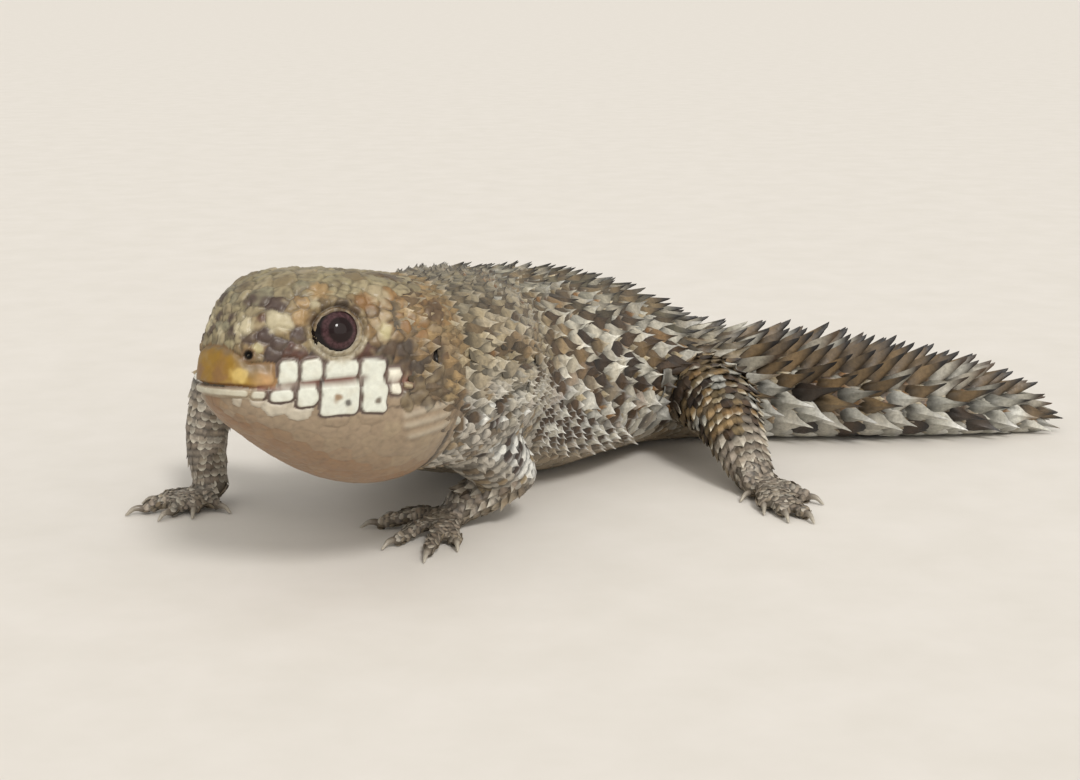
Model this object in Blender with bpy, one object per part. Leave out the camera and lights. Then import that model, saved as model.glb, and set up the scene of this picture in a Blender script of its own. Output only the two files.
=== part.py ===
"""Pygmy spiny-tailed skink, life size, in a still pose: the forequarters raised on the fore legs, the trunk
curved to the left, the belly, the feet and the underside of the tail on the floor.

Sizes are in millimetres and are turned into metres where a mesh is made. +Z is up and the floor is z = 0.
The origin is under the belly, the tail lies along +X and the left flank faces -Y.
A station is a length along the spine: 0 at the shoulders, less towards the head, more towards the tail.
"""
import math
import random

import bmesh
import bpy
from mathutils import Matrix, Vector

MM = 0.001
UP = Vector((0, 0, 1))

# Driving sizes
GAP = 0.3
HEAD_LENGTH = 21.0
NECK_LENGTH = 11.0
TRUNK_LENGTH = 51.0
TAIL_LENGTH = 47.0
HEAD_SCALE = 0.99
HEAD_YAW = 46.0
HEAD_PITCH = 3.0
HEAD_ROLL = 3.5
PRESSED = 0.35

# Stations
HEAD_END = -NECK_LENGTH
SHOULDERS = 0.0
WAIST = 26.0
BELLY = 36.0
HIPS = TRUNK_LENGTH
TAIL_ROOT = HIPS + 8.0
TAIL_MIDDLE = HIPS + 27.0
TAIL_TIP = HIPS + TAIL_LENGTH
LIFTED_END = 30.0

# Heading from head to tail, in degrees from +X, by station
HEADING = (
    (HEAD_END, HEAD_YAW), (-7.0, 62.0), (-3.0, 78.0), (1.0, 92.0), (6.0, 94.0), (14.0, 73.0),
    (HIPS / 2, 55.0), (BELLY, 41.0), (HIPS - 7, 30.0), (HIPS, 15.0), (HIPS + 7, 4.0), (HIPS + 14, 0.0),
    (TAIL_TIP, 6.0),
)
# Half width and half height of the body, by station
HALF_WIDTH = (
    (HEAD_END, 9.5), (-6.0, 9.4), (SHOULDERS, 10.2), (8.0, 12.0), (16.0, 13.8), (28.0, 15.0),
    (40.0, 13.4), (HIPS, 10.0), (TAIL_ROOT, 8.5), (HIPS + 16, 7.9), (HIPS + 30, 6.6), (HIPS + 41, 4.6),
    (TAIL_TIP - 1, 2.0), (TAIL_TIP, 1.0),
)
HALF_HEIGHT = (
    (HEAD_END, 9.1), (-6.0, 9.3), (SHOULDERS, 9.8), (12.0, 11.1), (28.0, 11.4), (40.0, 9.9),
    (HIPS, 7.2), (TAIL_ROOT, 6.0), (HIPS + 16, 5.2), (HIPS + 30, 4.2), (HIPS + 41, 2.9),
    (TAIL_TIP - 1, 1.3), (TAIL_TIP, 0.7),
)
# Height of the spine where the body is lifted, by station
LIFTED_HEIGHT = (
    (HEAD_END, 18.2), (SHOULDERS, 16.8), (12.0, 14.0), (20.0, 12.3), (25.0, 11.4), (LIFTED_END, 10.95),
)
ROLL = ((HEAD_END, HEAD_ROLL), (SHOULDERS, 1.5), (12.0, 0.0), (TAIL_TIP, 0.0))
BACK_SQUARENESS = ((HEAD_END, 0.74), (SHOULDERS, 0.9), (TAIL_TIP, 0.9))
BELLY_SQUARENESS = ((HEAD_END, 0.98), (SHOULDERS, 0.94), (8.0, 0.9), (TAIL_TIP, 0.9))

# Head sections: length back from the snout tip, half width, height of the crown and depth of the throat
HEAD_SECTIONS = (
    (0.0, 1.2, 1.2, 1.1), (0.35, 2.1, 2.3, 1.8), (1.5, 3.3, 5.4, 3.0), (2.6, 4.2, 7.3, 4.0), (4.0, 5.3, 8.5, 4.9),
    (7.0, 7.3, 9.6, 7.0), (10.0, 8.4, 9.8, 8.8), (13.0, 9.3, 9.7, 10.1), (16.0, 10.1, 9.4, 10.8),
    (18.8, 10.3, 9.0, 10.8), (HEAD_LENGTH, 9.8, 8.6, 10.2),
)
# Where the rings of the head's surface lie, back from the snout tip
HEAD_RINGS = (
    0.0, 0.35, 0.9, 1.8, 3.0, 4.4, 6.0, 7.6, 9.2, 11.0, 13.0, 15.0, 17.0, 19.0, 20.5,
    HEAD_LENGTH - GAP / 2 / HEAD_SCALE,
)
HEAD_DROP = 1.1
HEAD_SIDES = 28
CROWN_SQUARENESS = ((0.0, 0.85), (4.0, 0.7), (13.0, 0.62), (HEAD_LENGTH, 0.74))
THROAT_SQUARENESS = 0.95
MOUTH_CORNER = 14.0
MOUTH_GROOVE = 0.4
MOUTH_PLACES = (MOUTH_CORNER, 12.0, 9.5, 7.0, 4.5, 2.5, 1.0, 0.3)
EYE_BACK = 8.4
EYE_ANGLE = 20.0
EYE_RADIUS = 2.4
EYE_SUNK = 1.7
LID_RADIUS = 2.3
LID_THICK = 0.5
EAR_BACK = 17.6
EAR_ANGLE = 6.0
EAR_SIZE = (0.9, 1.7, 1.3)
NOSTRIL_BACK = 1.9
NOSTRIL_ANGLE = 24.0
NOSTRIL_SIZE = (0.5, 0.5, 0.7)

# Legs: the joints from the root inside the body to the wrist or heel, and the radius at each
LEGS = {
    "fore_left": dict(
        joints=(
            (-12.6, -31.5, 13.2), (-9.5, -33.6, 10.6), (-5.9, -29.2, 5.5), (-8.0, -29.8, 3.7), (-10.5, -30.6, 2.3),
        ),
        radii=(4.2, 4.2, 3.0, 2.4, 1.9), facing=(-0.9, -0.44, 0.0), spread=1.25,
        tips=((-21.0, -31.6), (-18.2, -38.8), (-13.8, -42.8), (-10.7, -39.4), (-19.2, -28.4)), toe=0.85,
    ),
    "fore_right": dict(
        joints=(
            (-21.0, -30.6, 14.0), (-29.0, -26.0, 14.4), (-36.8, -21.6, 12.8), (-38.0, -22.0, 7.2), (-37.6, -23.0, 2.4),
        ),
        radii=(4.0, 3.3, 2.7, 2.3, 1.9), facing=(-0.75, -0.66, 0.0), spread=1.25,
        tips=((-45.8, -27.4), (-42.0, -29.4), (-38.6, -28.6), (-34.9, -26.6), (-45.0, -23.0)), toe=0.85,
    ),
    "hind_left": dict(
        joints=(
            (15.0, 2.0, 7.2), (17.2, -6.0, 7.4), (18.4, -12.0, 6.4), (19.3, -15.4, 4.4), (20.3, -18.2, 2.3),
        ),
        radii=(4.4, 4.5, 3.6, 2.9, 2.2), facing=(0.62, -0.78, 0.0), spread=1.3,
        tips=((18.6, -22.4), (20.6, -27.2), (22.8, -29.9), (25.4, -30.2), (27.4, -23.4)), toe=0.9,
    ),
    "hind_right": dict(
        joints=(
            (12.0, 13.0, 6.8), (11.0, 19.0, 6.2), (10.8, 24.0, 5.2), (12.8, 27.6, 3.8), (15.4, 30.4, 2.3),
        ),
        radii=(4.4, 4.2, 3.3, 2.7, 2.0), facing=(0.72, 0.69, 0.0), spread=1.3,
        tips=((14.4, 34.6), (17.6, 39.4), (21.2, 42.0), (24.6, 41.6), (24.8, 33.6)), toe=0.9,
    ),
}
LEG_SIDES = 12
PALM_HEIGHT = 1.2
KNUCKLE_HEIGHT = 1.3
CLAW_LENGTH = 1.9
# How far soles and toe pads would reach below the floor before they are cut flat
SOLE_CUT = 0.15

# Spines grow in rows across the body. For each length of body: stations of the first and last row, rows, angle of
# the lowest spine on each flank, spines in a row, length, half width of the root, and lean above the surface
BODY_SPINES = {
    "neck": dict(first=-9.2, last=-2.6, rows=3, low=8.0, across=9, length=1.5, width=0.85, lean=27.0),
    "torso_front": dict(first=1.4, last=22.8, rows=8, low=-4.0, across=11, length=2.3, width=1.1, lean=33.0),
    "torso_rear": dict(first=27.5, last=55.4, rows=10, low=-2.0, across=11, length=2.5, width=1.15, lean=36.0),
    "tail_base": dict(first=60.6, last=74.4, rows=4, low=-12.0, across=8, length=4.0, width=1.25, lean=40.0),
    "tail_tip": dict(first=79.2, last=95.0, rows=5, low=-12.0, across=6, length=3.3, width=1.0, lean=36.0),
}
# Spines of the legs, by length of leg: rows, spines round the leg, length, half width and lean
LEG_SPINES = {
    "fore_left_upper": dict(start=0.12, rows=3, around=8, length=1.5, width=0.85, lean=32.0),
    "fore_right_upper": dict(start=0.12, rows=3, around=8, length=1.6, width=0.85, lean=38.0),
    "hind_left_upper": dict(start=0.12, rows=4, around=8, length=2.1, width=1.2, lean=28.0),
    "hind_right_upper": dict(start=0.12, rows=4, around=8, length=2.1, width=1.2, lean=28.0),
    "fore_left_lower": dict(start=0.34, rows=2, around=7, length=1.3, width=0.7, lean=36.0),
    "fore_right_lower": dict(start=0.34, rows=3, around=7, length=1.4, width=0.7, lean=36.0),
    "hind_left_lower": dict(start=0.34, rows=2, around=7, length=1.5, width=0.8, lean=34.0),
    "hind_right_lower": dict(start=0.34, rows=2, around=7, length=1.5, width=0.8, lean=34.0),
}
LAST_LEG_ROW = 0.84
SPINE_SUNK = 0.55
SPINE_CLEAR = 0.45
BODY_CLEAR = 0.65
SECTION_CLEAR = 0.2
FLOOR_CLEAR = 0.5
# The root of a spine is a little longer than wide
ROOT_LENGTH = 1.15

# Plates of the lips: the length back of the first and last, how many a side, their half sizes, and how far above
# and below the line of the mouth
LIP_PLATES = dict(first=2.5, last=13.0, count=6, half=(1.12, 1.0, 0.62), levels=(1.4, -1.45))
FRONT_LIPS = (("rostral", 0.9), ("mental", -0.9))
FRONT_LIP_HALF = (1.3, 0.62, 0.75)
# Shields of the crown: length back, angle from the left of the mouth line, half length, half width
CROWN_SHIELDS = (
    (1.8, 90, 1.1, 1.5), (4.2, 66, 1.5, 1.6), (4.2, 114, 1.5, 1.6), (7.4, 90, 2.2, 1.9), (7.4, 55, 1.8, 1.3),
    (7.4, 125, 1.8, 1.3), (10.9, 56, 1.8, 1.3), (10.9, 124, 1.8, 1.3), (11.3, 78, 1.8, 1.5),
    (11.3, 102, 1.8, 1.5), (14.6, 90, 1.7, 1.5), (14.6, 62, 1.9, 2.0), (14.6, 118, 1.9, 2.0),
    (17.9, 73, 1.5, 2.1), (17.9, 107, 1.5, 2.1),
)
# Scales of the temples and the nape, raised to a short point: length back and angle round the head
TEMPLE_SCALES = tuple((back, angle) for back in (14.2, 17.4) for angle in (22, 42, 138, 158))
TEMPLE_LENGTH = 1.6
TEMPLE_WIDTH = 1.1
TEMPLE_LEAN = 24.0
SHIELD_PROUD = 0.55
BROW_ANGLE = 42.0
BROW_HALF = (2.7, 0.8, 0.8)
# How far the middle of a plate lies below the surface
PLATE_SUNK = 0.2


def interpolate(table, at):
    """A smooth curve through (place, value) pairs."""
    if at <= table[0][0]:
        return table[0][1]
    if at >= table[-1][0]:
        return table[-1][1]
    k = max(i for i in range(len(table) - 1) if table[i][0] <= at)
    slopes = []
    for i in (k, k + 1):
        before = table[max(i - 1, 0)]
        after = table[min(i + 1, len(table) - 1)]
        slopes.append((after[1] - before[1]) / (after[0] - before[0]))
    (x0, y0), (x1, y1) = table[k], table[k + 1]
    span = x1 - x0
    t = (at - x0) / span
    blend = t * t * (3 - 2 * t)
    bend = span * (slopes[0] * t * (1 - t) ** 2 - slopes[1] * t * t * (1 - t))
    return y0 * (1 - blend) + y1 * blend + bend


def spine_height(station):
    if station < LIFTED_END:
        return interpolate(LIFTED_HEIGHT, station)
    return interpolate(HALF_HEIGHT, station) - PRESSED


STEP = 0.5


def spine_points():
    """The plan of the spine, from the heading, through the origin at the belly."""
    count = round((TAIL_TIP - HEAD_END) / STEP)
    points = [Vector((0, 0, 0))]
    for i in range(count):
        heading = math.radians(interpolate(HEADING, HEAD_END + (i + 0.5) * STEP))
        points.append(points[-1] + STEP * Vector((math.cos(heading), math.sin(heading), 0)))
    origin = points[round((BELLY - HEAD_END) / STEP)]
    return [point - origin for point in points]


SPINE = spine_points()


def spine_at(station):
    place = min(max((station - HEAD_END) / STEP, 0), len(SPINE) - 1.001)
    k = int(place)
    point = SPINE[k].lerp(SPINE[k + 1], place - k)
    return Vector((point.x, point.y, spine_height(station)))


def frame_at(station):
    """(centre, direction to the tail, the animal's left, up) of the body's section at a station."""
    heading = math.radians(interpolate(HEADING, station))
    reach = 2.0
    slope = (spine_height(station + reach) - spine_height(station - reach)) / (2 * reach)
    if station <= HEAD_END + reach:
        slope = -math.tan(math.radians(HEAD_PITCH))
    back = Vector((math.cos(heading), math.sin(heading), slope)).normalized()
    level = Vector((math.sin(heading), -math.cos(heading), 0))
    roll = math.radians(interpolate(ROLL, station))
    upright = level.cross(back)
    upright = upright if upright.z > 0 else -upright
    left = math.cos(roll) * level + math.sin(roll) * upright
    up = math.cos(roll) * upright - math.sin(roll) * level
    return spine_at(station), back, left, up


def power(value, exponent):
    return math.copysign(abs(value) ** exponent, value)


def body_point(station, angle, grown=0.0):
    """A point of the body's surface: angle 0 is the animal's left, 90 the back, 270 the belly."""
    centre, _, left, up = frame_at(station)
    turn = math.radians(angle)
    width = interpolate(HALF_WIDTH, station) + grown
    height = interpolate(HALF_HEIGHT, station) + grown
    square = interpolate(BACK_SQUARENESS if math.sin(turn) > 0 else BELLY_SQUARENESS, station)
    point = centre + width * power(math.cos(turn), square) * left
    point += height * power(math.sin(turn), square) * up
    point.z = max(point.z, -grown)
    return point


HEAD_BACK = frame_at(HEAD_END)
# The snout tip, from the section where the head meets the neck
SNOUT = HEAD_BACK[0] + HEAD_SCALE * (-HEAD_LENGTH * HEAD_BACK[1] + HEAD_DROP * HEAD_BACK[3])


def head_place(back, left, up):
    """A point by its length behind the snout tip, to the animal's left and above the mouth line."""
    return SNOUT + HEAD_SCALE * (back * HEAD_BACK[1] + left * HEAD_BACK[2] + up * HEAD_BACK[3])


def head_sizes(back):
    """Half width, height of the crown and depth of the throat."""
    return [interpolate([(section[0], section[k]) for section in HEAD_SECTIONS], back) for k in (1, 2, 3)]


def head_point(back, angle):
    """A point of the head's surface: angle 0 is the left of the mouth line, 90 the crown, 270 the throat."""
    width, crown, throat = head_sizes(back)
    turn = math.radians(angle)
    above = math.sin(turn) >= 0
    square = interpolate(CROWN_SQUARENESS, back) if above else THROAT_SQUARENESS
    height = crown if above else throat
    return head_place(back, width * power(math.cos(turn), square), height * power(math.sin(turn), square))


def normal_of(surface, along, angle):
    """The outward normal of a surface function at (along, angle)."""
    span = 0.4
    ahead = surface(along + span, angle) - surface(along - span, angle)
    around = surface(along, angle + 4) - surface(along, angle - 4)
    return ahead.cross(around).normalized()


def new_object(name, mesh_or_bm, collection):
    if isinstance(mesh_or_bm, bmesh.types.BMesh):
        mesh = bpy.data.meshes.new(name)
        bmesh.ops.recalc_face_normals(mesh_or_bm, faces=mesh_or_bm.faces)
        mesh_or_bm.to_mesh(mesh)
        mesh_or_bm.free()
    else:
        mesh = mesh_or_bm
    made = bpy.data.objects.new(name, mesh)
    collection.objects.link(made)
    return made


def loft(name, rings, collection):
    """A closed tube through rings of points in millimetres, with a fan on each end."""
    bm = bmesh.new()
    rows = [[bm.verts.new(point * MM) for point in ring] for ring in rings]
    sides = len(rings[0])
    for lower, upper in zip(rows, rows[1:]):
        for i in range(sides):
            j = (i + 1) % sides
            bm.faces.new((lower[i], lower[j], upper[j], upper[i]))
    for row in (rows[0], rows[-1]):
        middle = bm.verts.new(sum((v.co for v in row), Vector()) / sides)
        for i in range(sides):
            bm.faces.new((row[i], row[(i + 1) % sides], middle))
    return new_object(name, bm, collection)


def keep_largest(bm):
    """Removes all but the largest closed surface of a mesh."""
    left = set(bm.faces)
    shells = []
    while left:
        shell = set()
        front = [left.pop()]
        while front:
            face = front.pop()
            shell.add(face)
            for edge in face.edges:
                if len(edge.link_faces) != 2:
                    continue
                for other in edge.link_faces:
                    if other in left:
                        left.remove(other)
                        front.append(other)
        shells.append(shell)
    largest = max(shells, key=lambda shell: sum(face.calc_area() for face in shell))
    extra = [face for shell in shells if shell is not largest for face in shell]
    bmesh.ops.delete(bm, geom=extra, context="FACES")


def fuse(node, pieces, operation="UNION", solver="EXACT"):
    """Joins closed pieces to a node, or cuts them from it, and removes them."""
    if not pieces:
        return
    helper = bpy.data.collections.new(node.name + "_pieces")
    bpy.context.scene.collection.children.link(helper)
    for piece in pieces:
        for owner in list(piece.users_collection):
            owner.objects.unlink(piece)
        helper.objects.link(piece)
    modifier = node.modifiers.new("join", "BOOLEAN")
    modifier.operation = operation
    modifier.operand_type = "COLLECTION"
    modifier.collection = helper
    modifier.solver = solver
    graph = bpy.context.evaluated_depsgraph_get()
    mesh = bpy.data.meshes.new_from_object(node.evaluated_get(graph))
    node.modifiers.remove(modifier)
    old = node.data
    node.data = mesh
    bpy.data.meshes.remove(old)
    for piece in pieces:
        bpy.data.objects.remove(piece)
    bpy.data.collections.remove(helper)
    bm = bmesh.new()
    bm.from_mesh(mesh)
    bmesh.ops.triangulate(bm, faces=bm.faces)
    keep_largest(bm)
    bm.to_mesh(mesh)
    bm.free()


def ball(name, centre, radii, axes, collection, segments=14, rings=9):
    """An ellipsoid, with its three half lengths along three axes."""
    bm = bmesh.new()
    bmesh.ops.create_uvsphere(bm, u_segments=segments, v_segments=rings, radius=1)
    for vert in bm.verts:
        offset = sum((vert.co[k] * radii[k] * axes[k] for k in range(3)), Vector())
        vert.co = (centre + offset) * MM
    return new_object(name, bm, collection)


def axes_from(normal, along):
    """Three axes at right angles: along the surface, across it and out of it."""
    out = normal.normalized()
    first = (along - along.dot(out) * out).normalized()
    return first, out.cross(first), out


def frames_along(points, reference):
    """A (tangent, side, rise) for each point of a path."""
    frames = []
    for i, point in enumerate(points):
        tangent = (points[min(i + 1, len(points) - 1)] - points[max(i - 1, 0)]).normalized()
        side = (reference - reference.dot(tangent) * tangent).normalized()
        frames.append((tangent, side, tangent.cross(side)))
    return frames


def tube_rings(points, radii, reference, sides, flat=1.0):
    rings = []
    for point, radius, (_, side, rise) in zip(points, radii, frames_along(points, reference)):
        rings.append([
            point + radius * (math.cos(a) * side + flat * math.sin(a) * rise)
            for a in (2 * math.pi * k / sides for k in range(sides))
        ])
    return rings


def path_point(joints, place):
    """A smooth path through the joints, with place from 0 to 1."""
    stations = [k / (len(joints) - 1) for k in range(len(joints))]
    tables = [[(s, joint[k]) for s, joint in zip(stations, joints)] for k in range(3)]
    return Vector([interpolate(table, place) for table in tables])


def body_node(name, start, end, collection, sides=26, spacing=3.6):
    count = max(2, round((end - start) / spacing))
    stations = [start + (end - start) * k / count for k in range(count + 1)]
    rings = [[body_point(s, 360 * k / sides) for k in range(sides)] for s in stations]
    return loft(name, rings, collection)


def body_clearance(collection):
    """The whole body grown by the gap, to cut the roots of the legs."""
    stations = [HEAD_END - 3 + 2.0 * k for k in range(round((TAIL_MIDDLE - HEAD_END + 3) / 2.0))]
    rings = [[body_point(s, 360 * k / 40, GAP + 0.1) for k in range(40)] for s in stations]
    return loft("body_clearance", rings, collection)


def head_node(collection, cutters):
    rings = [[head_point(back, 360 * k / HEAD_SIDES) for k in range(HEAD_SIDES)] for back in HEAD_RINGS]
    head = loft("head", rings, collection)
    lids = []
    holes = []
    for side, name in ((1, "left"), (-1, "right")):
        angle = EYE_ANGLE if side > 0 else 180 - EYE_ANGLE
        centre, normal = eye_place(side)
        axes = axes_from(normal, HEAD_BACK[1])
        lids.append(ring("lid_" + name, head_point(EYE_BACK, angle), axes, LID_RADIUS, LID_THICK, cutters))
        holes.append(ball("socket_" + name, centre, [EYE_RADIUS + GAP] * 3, axes, cutters, 16, 10))
        ear = EAR_ANGLE if side > 0 else 180 - EAR_ANGLE
        axes = axes_from(normal_of(head_point, EAR_BACK, ear), HEAD_BACK[1])
        holes.append(ball("ear_" + name, head_point(EAR_BACK, ear), EAR_SIZE, axes, cutters, 12, 8))
        nose = NOSTRIL_ANGLE if side > 0 else 180 - NOSTRIL_ANGLE
        axes = axes_from(normal_of(head_point, NOSTRIL_BACK, nose), HEAD_BACK[1])
        place = head_point(NOSTRIL_BACK, nose)
        holes.append(ball("nostril_" + name, place, NOSTRIL_SIZE, axes, cutters, 8, 6))
    fuse(head, lids + head_plates(cutters))
    fuse(head, holes, "DIFFERENCE")
    fuse(head, [mouth_line(cutters)], "DIFFERENCE")
    return head


def eye_place(side):
    """(centre, outward normal) of an eyeball."""
    angle = EYE_ANGLE if side > 0 else 180 - EYE_ANGLE
    normal = normal_of(head_point, EYE_BACK, angle)
    return head_point(EYE_BACK, angle) - EYE_SUNK * normal, normal


def ring(name, centre, axes, radius, thick, collection, segments=18, sides=6):
    """A torus whose plane is set by the first two of three axes."""
    bpy.ops.mesh.primitive_torus_add(
        major_segments=segments, minor_segments=sides, major_radius=radius * MM, minor_radius=thick * MM
    )
    made = bpy.context.active_object
    turn = Matrix(axes).transposed().to_4x4()
    made.data.transform(Matrix.Translation(centre * MM) @ turn)
    made.name = name
    for owner in list(made.users_collection):
        owner.objects.unlink(made)
    collection.objects.link(made)
    return made


def mouth_line(collection):
    """A thin tube from one corner of the mouth round the snout to the other, to cut the line of the mouth."""
    left = [head_point(back, 0) for back in MOUTH_PLACES]
    front = [head_place(-0.05, 1.2, 0), head_place(-0.05, -1.2, 0)]
    right = [head_point(back, 180) for back in reversed(MOUTH_PLACES)]
    points = left + front + right
    rings = tube_rings(points, [MOUTH_GROOVE] * len(points), HEAD_BACK[3], 4, 1.0)
    return loft("mouth_cut", rings, collection)


def floor_slab(collection):
    """A slab whose top is the floor, to cut soles flat."""
    bm = bmesh.new()
    size = Matrix.Diagonal((0.4, 0.4, 0.02, 1))
    bmesh.ops.create_cube(bm, size=1, matrix=Matrix.Translation((0, 0, -0.01)) @ size)
    return new_object("floor_slab", bm, collection)


def limb_rings(joints, radii, reference, grown=0.0, rounded=True, count=6, end=1.0):
    """Rings along one length of a leg, with a round end at the joint where the next length begins."""
    stations = [k / (len(joints) - 1) for k in range(len(joints))]
    places = [end * k / count for k in range(count + 1)]
    points = [path_point(joints, place) for place in places]
    sizes = [interpolate(list(zip(stations, radii)), place) + grown for place in places]
    if rounded:
        tangent = (points[-1] - points[-2]).normalized()
        last = sizes[-1]
        for turn in (35, 65):
            points.append(path_point(joints, end) + last * math.sin(math.radians(turn)) * tangent)
            sizes.append(last * math.cos(math.radians(turn)))
    return tube_rings(points, sizes, reference, LEG_SIDES)


def leg_nodes(name, collection, cutters):
    leg = LEGS[name]
    joints = [Vector(j) for j in leg["joints"]]
    radii = leg["radii"]
    facing = Vector(leg["facing"]).normalized()
    reference = facing.cross(UP)
    upper = loft(name + "_upper", limb_rings(joints[:3], radii[:3], reference), collection)
    fuse(upper, [body_clearance(cutters)], "DIFFERENCE")
    grown = loft("elbow_clearance", limb_rings(joints[:3], radii[:3], reference, GAP), cutters)
    short = 1 - GAP / (joints[4] - joints[2]).length
    rings = limb_rings(joints[2:], radii[2:], reference, rounded=False, end=short)
    lower = loft(name + "_lower", rings, collection)
    fuse(lower, [grown], "DIFFERENCE")
    foot = foot_samples(name, SPINE_CLEAR)
    seed = sorted(LEGS).index(name) * 2
    beyond = limb_samples(name, 2, 4, SPINE_CLEAR)[1:] + foot
    leg_spines(upper, name + "_upper", joints[:3], radii[:3], reference, beyond, seed, cutters)
    above = limb_samples(name, 0, 2, SPINE_CLEAR) + foot
    leg_spines(lower, name + "_lower", joints[2:], radii[2:], reference, above, seed + 1, cutters)
    return [upper, lower, foot_node(name, leg, joints, facing, reference, collection, cutters)]


def foot_node(name, leg, joints, facing, reference, collection, cutters):
    """The palm or sole from the wrist or heel, with five toes and their claws."""
    wrist = joints[-1]
    tangent = (wrist - path_point(joints[2:], 0.95)).normalized()
    start = wrist + 0.05 * tangent
    radius = leg["radii"][-1]
    palm = start + 1.6 * facing - UP * (start.z - PALM_HEIGHT)
    points = [start, start + 0.9 * tangent, palm, palm + 1.6 * facing - 0.15 * UP]
    widths = [radius, radius * 1.02, radius * leg["spread"], radius * leg["spread"] * 0.7]
    rings = []
    for k, (point, width) in enumerate(zip(points, widths)):
        axis = tangent if k < 2 else facing
        side = (reference - reference.dot(axis) * axis).normalized()
        rise = axis.cross(side)
        thick = width if k < 2 else (PALM_HEIGHT + SOLE_CUT, 0.9)[k - 2]
        rings.append([point + width * math.cos(a) * side + thick * math.sin(a) * rise
                      for a in (2 * math.pi * i / 12 for i in range(12))])
    foot = loft(name + "_foot", rings, collection)
    pieces = []
    for k, tip in enumerate(leg["tips"]):
        end = Vector((tip[0], tip[1], 0.25))
        flat = Vector((end.x - palm.x, end.y - palm.y, 0))
        reach = flat.length
        flat.normalize()
        side = flat.cross(UP)
        toe = leg["toe"]
        nail = palm + (reach - CLAW_LENGTH) * flat
        nail.z = 0.72 * toe - SOLE_CUT
        root = palm + 0.5 * flat
        root.z = 1.1
        knuckle = root.lerp(nail, 0.5)
        knuckle.z = KNUCKLE_HEIGHT
        path = [root, knuckle, nail, nail + 0.5 * flat]
        thick = [toe, toe * 0.95, toe * 0.72, toe * 0.3]
        pieces.append(loft(f"toe_{k}", tube_rings(path, thick, side, 6), cutters))
        claw = [nail - 0.2 * flat + 0.1 * UP, nail + 0.9 * flat + 0.05 * UP, end]
        pieces.append(loft(f"claw_{k}", tube_rings(claw, [0.5, 0.38, 0.1], side, 4), cutters))
    fuse(foot, pieces)
    fuse(foot, [floor_slab(cutters)], "DIFFERENCE")
    return foot


def spine(name, root, back, out, length, width, lean, collection):
    """A flattened four-sided cone whose base is sunk along the surface and whose tip leans back."""
    bm = bmesh.new()
    bmesh.ops.create_cone(bm, cap_ends=True, cap_tris=True, segments=4, radius1=1, radius2=0, depth=1)
    across = out.cross(back)
    base = root - SPINE_SUNK * out
    for vert in bm.verts:
        if vert.co.z > 0:
            vert.co = spine_tip(root, back, out, length, lean) * MM
        else:
            vert.co = (base + width * (vert.co.x * across + ROOT_LENGTH * vert.co.y * back)) * MM
    return new_object(name, bm, collection)


def spine_tip(root, back, out, length, lean):
    turn = math.radians(lean)
    return root + length * (math.cos(turn) * back + math.sin(turn) * out)


def plate(name, centre, axes, half, collection, square=0.7, segments=6, rings=4):
    """A flat pillow with full edges, for a scute or a shield."""
    bm = bmesh.new()
    bmesh.ops.create_uvsphere(bm, u_segments=segments, v_segments=rings, radius=1)
    bmesh.ops.rotate(bm, verts=bm.verts, cent=(0, 0, 0), matrix=Matrix.Rotation(math.pi / segments, 3, "Z"))
    for vert in bm.verts:
        offset = sum((power(vert.co[k], square) * half[k] * axes[k] for k in range(3)), Vector())
        vert.co = (centre + offset) * MM
    return new_object(name, bm, collection)


def limb_samples(name, start, end, grown):
    """(centre, radius) along one stretch of a leg, in joints from start to end."""
    leg = LEGS[name]
    joints = [Vector(j) for j in leg["joints"][start:end + 1]]
    radii = leg["radii"][start:end + 1]
    stations = [k / (len(joints) - 1) for k in range(len(joints))]
    places = [k / 8 for k in range(9)]
    sizes = list(zip(stations, radii))
    return [(path_point(joints, place), interpolate(sizes, place) + grown) for place in places]


def foot_samples(name, grown):
    """(centre, radius) over the palm and the toes of a foot."""
    leg = LEGS[name]
    wrist = Vector(leg["joints"][-1])
    palm = wrist + 1.6 * Vector(leg["facing"]).normalized()
    palm.z = PALM_HEIGHT
    found = [(wrist, leg["radii"][-1] * 1.1 + grown), (palm, leg["radii"][-1] * leg["spread"] + grown)]
    for tip in leg["tips"]:
        end = Vector((*tip, 0.5))
        found += [(palm.lerp(end, part), leg["toe"] + grown) for part in (0.3, 0.6, 0.9)]
    return found


def clear_of(points, samples):
    return all((point - centre).length > radius for point in points for centre, radius in samples)


def outside_body(point, grown):
    """Whether a point is outside the trunk, neck and tail and the head, each grown."""
    station = min((HEAD_END + 1.0 * k for k in range(round(TAIL_TIP - HEAD_END))),
                  key=lambda s: (spine_at(s) - point).length)
    centre, _, left, up = frame_at(station)
    width = interpolate(HALF_WIDTH, station) + grown
    height = interpolate(HALF_HEIGHT, station) + grown
    level = abs((point - centre).dot(left) / width)
    rise = abs((point - centre).dot(up) / height)
    offset = (point - SNOUT) / HEAD_SCALE
    back = offset.dot(HEAD_BACK[1])
    if -1 < back < HEAD_LENGTH:
        half, crown, throat = (size + grown for size in head_sizes(back))
        up_there = offset.dot(HEAD_BACK[3])
        tall = crown if up_there > 0 else throat
        if (offset.dot(HEAD_BACK[2]) / half) ** 2 + (up_there / tall) ** 2 < 1.15:
            return False
    return level ** 2 + rise ** 2 > 1


def past_section(point, station):
    """How far a point is beyond the body's section at a station, towards the tail."""
    centre, back, _, _ = frame_at(station)
    return (point - centre).dot(back)


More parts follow.
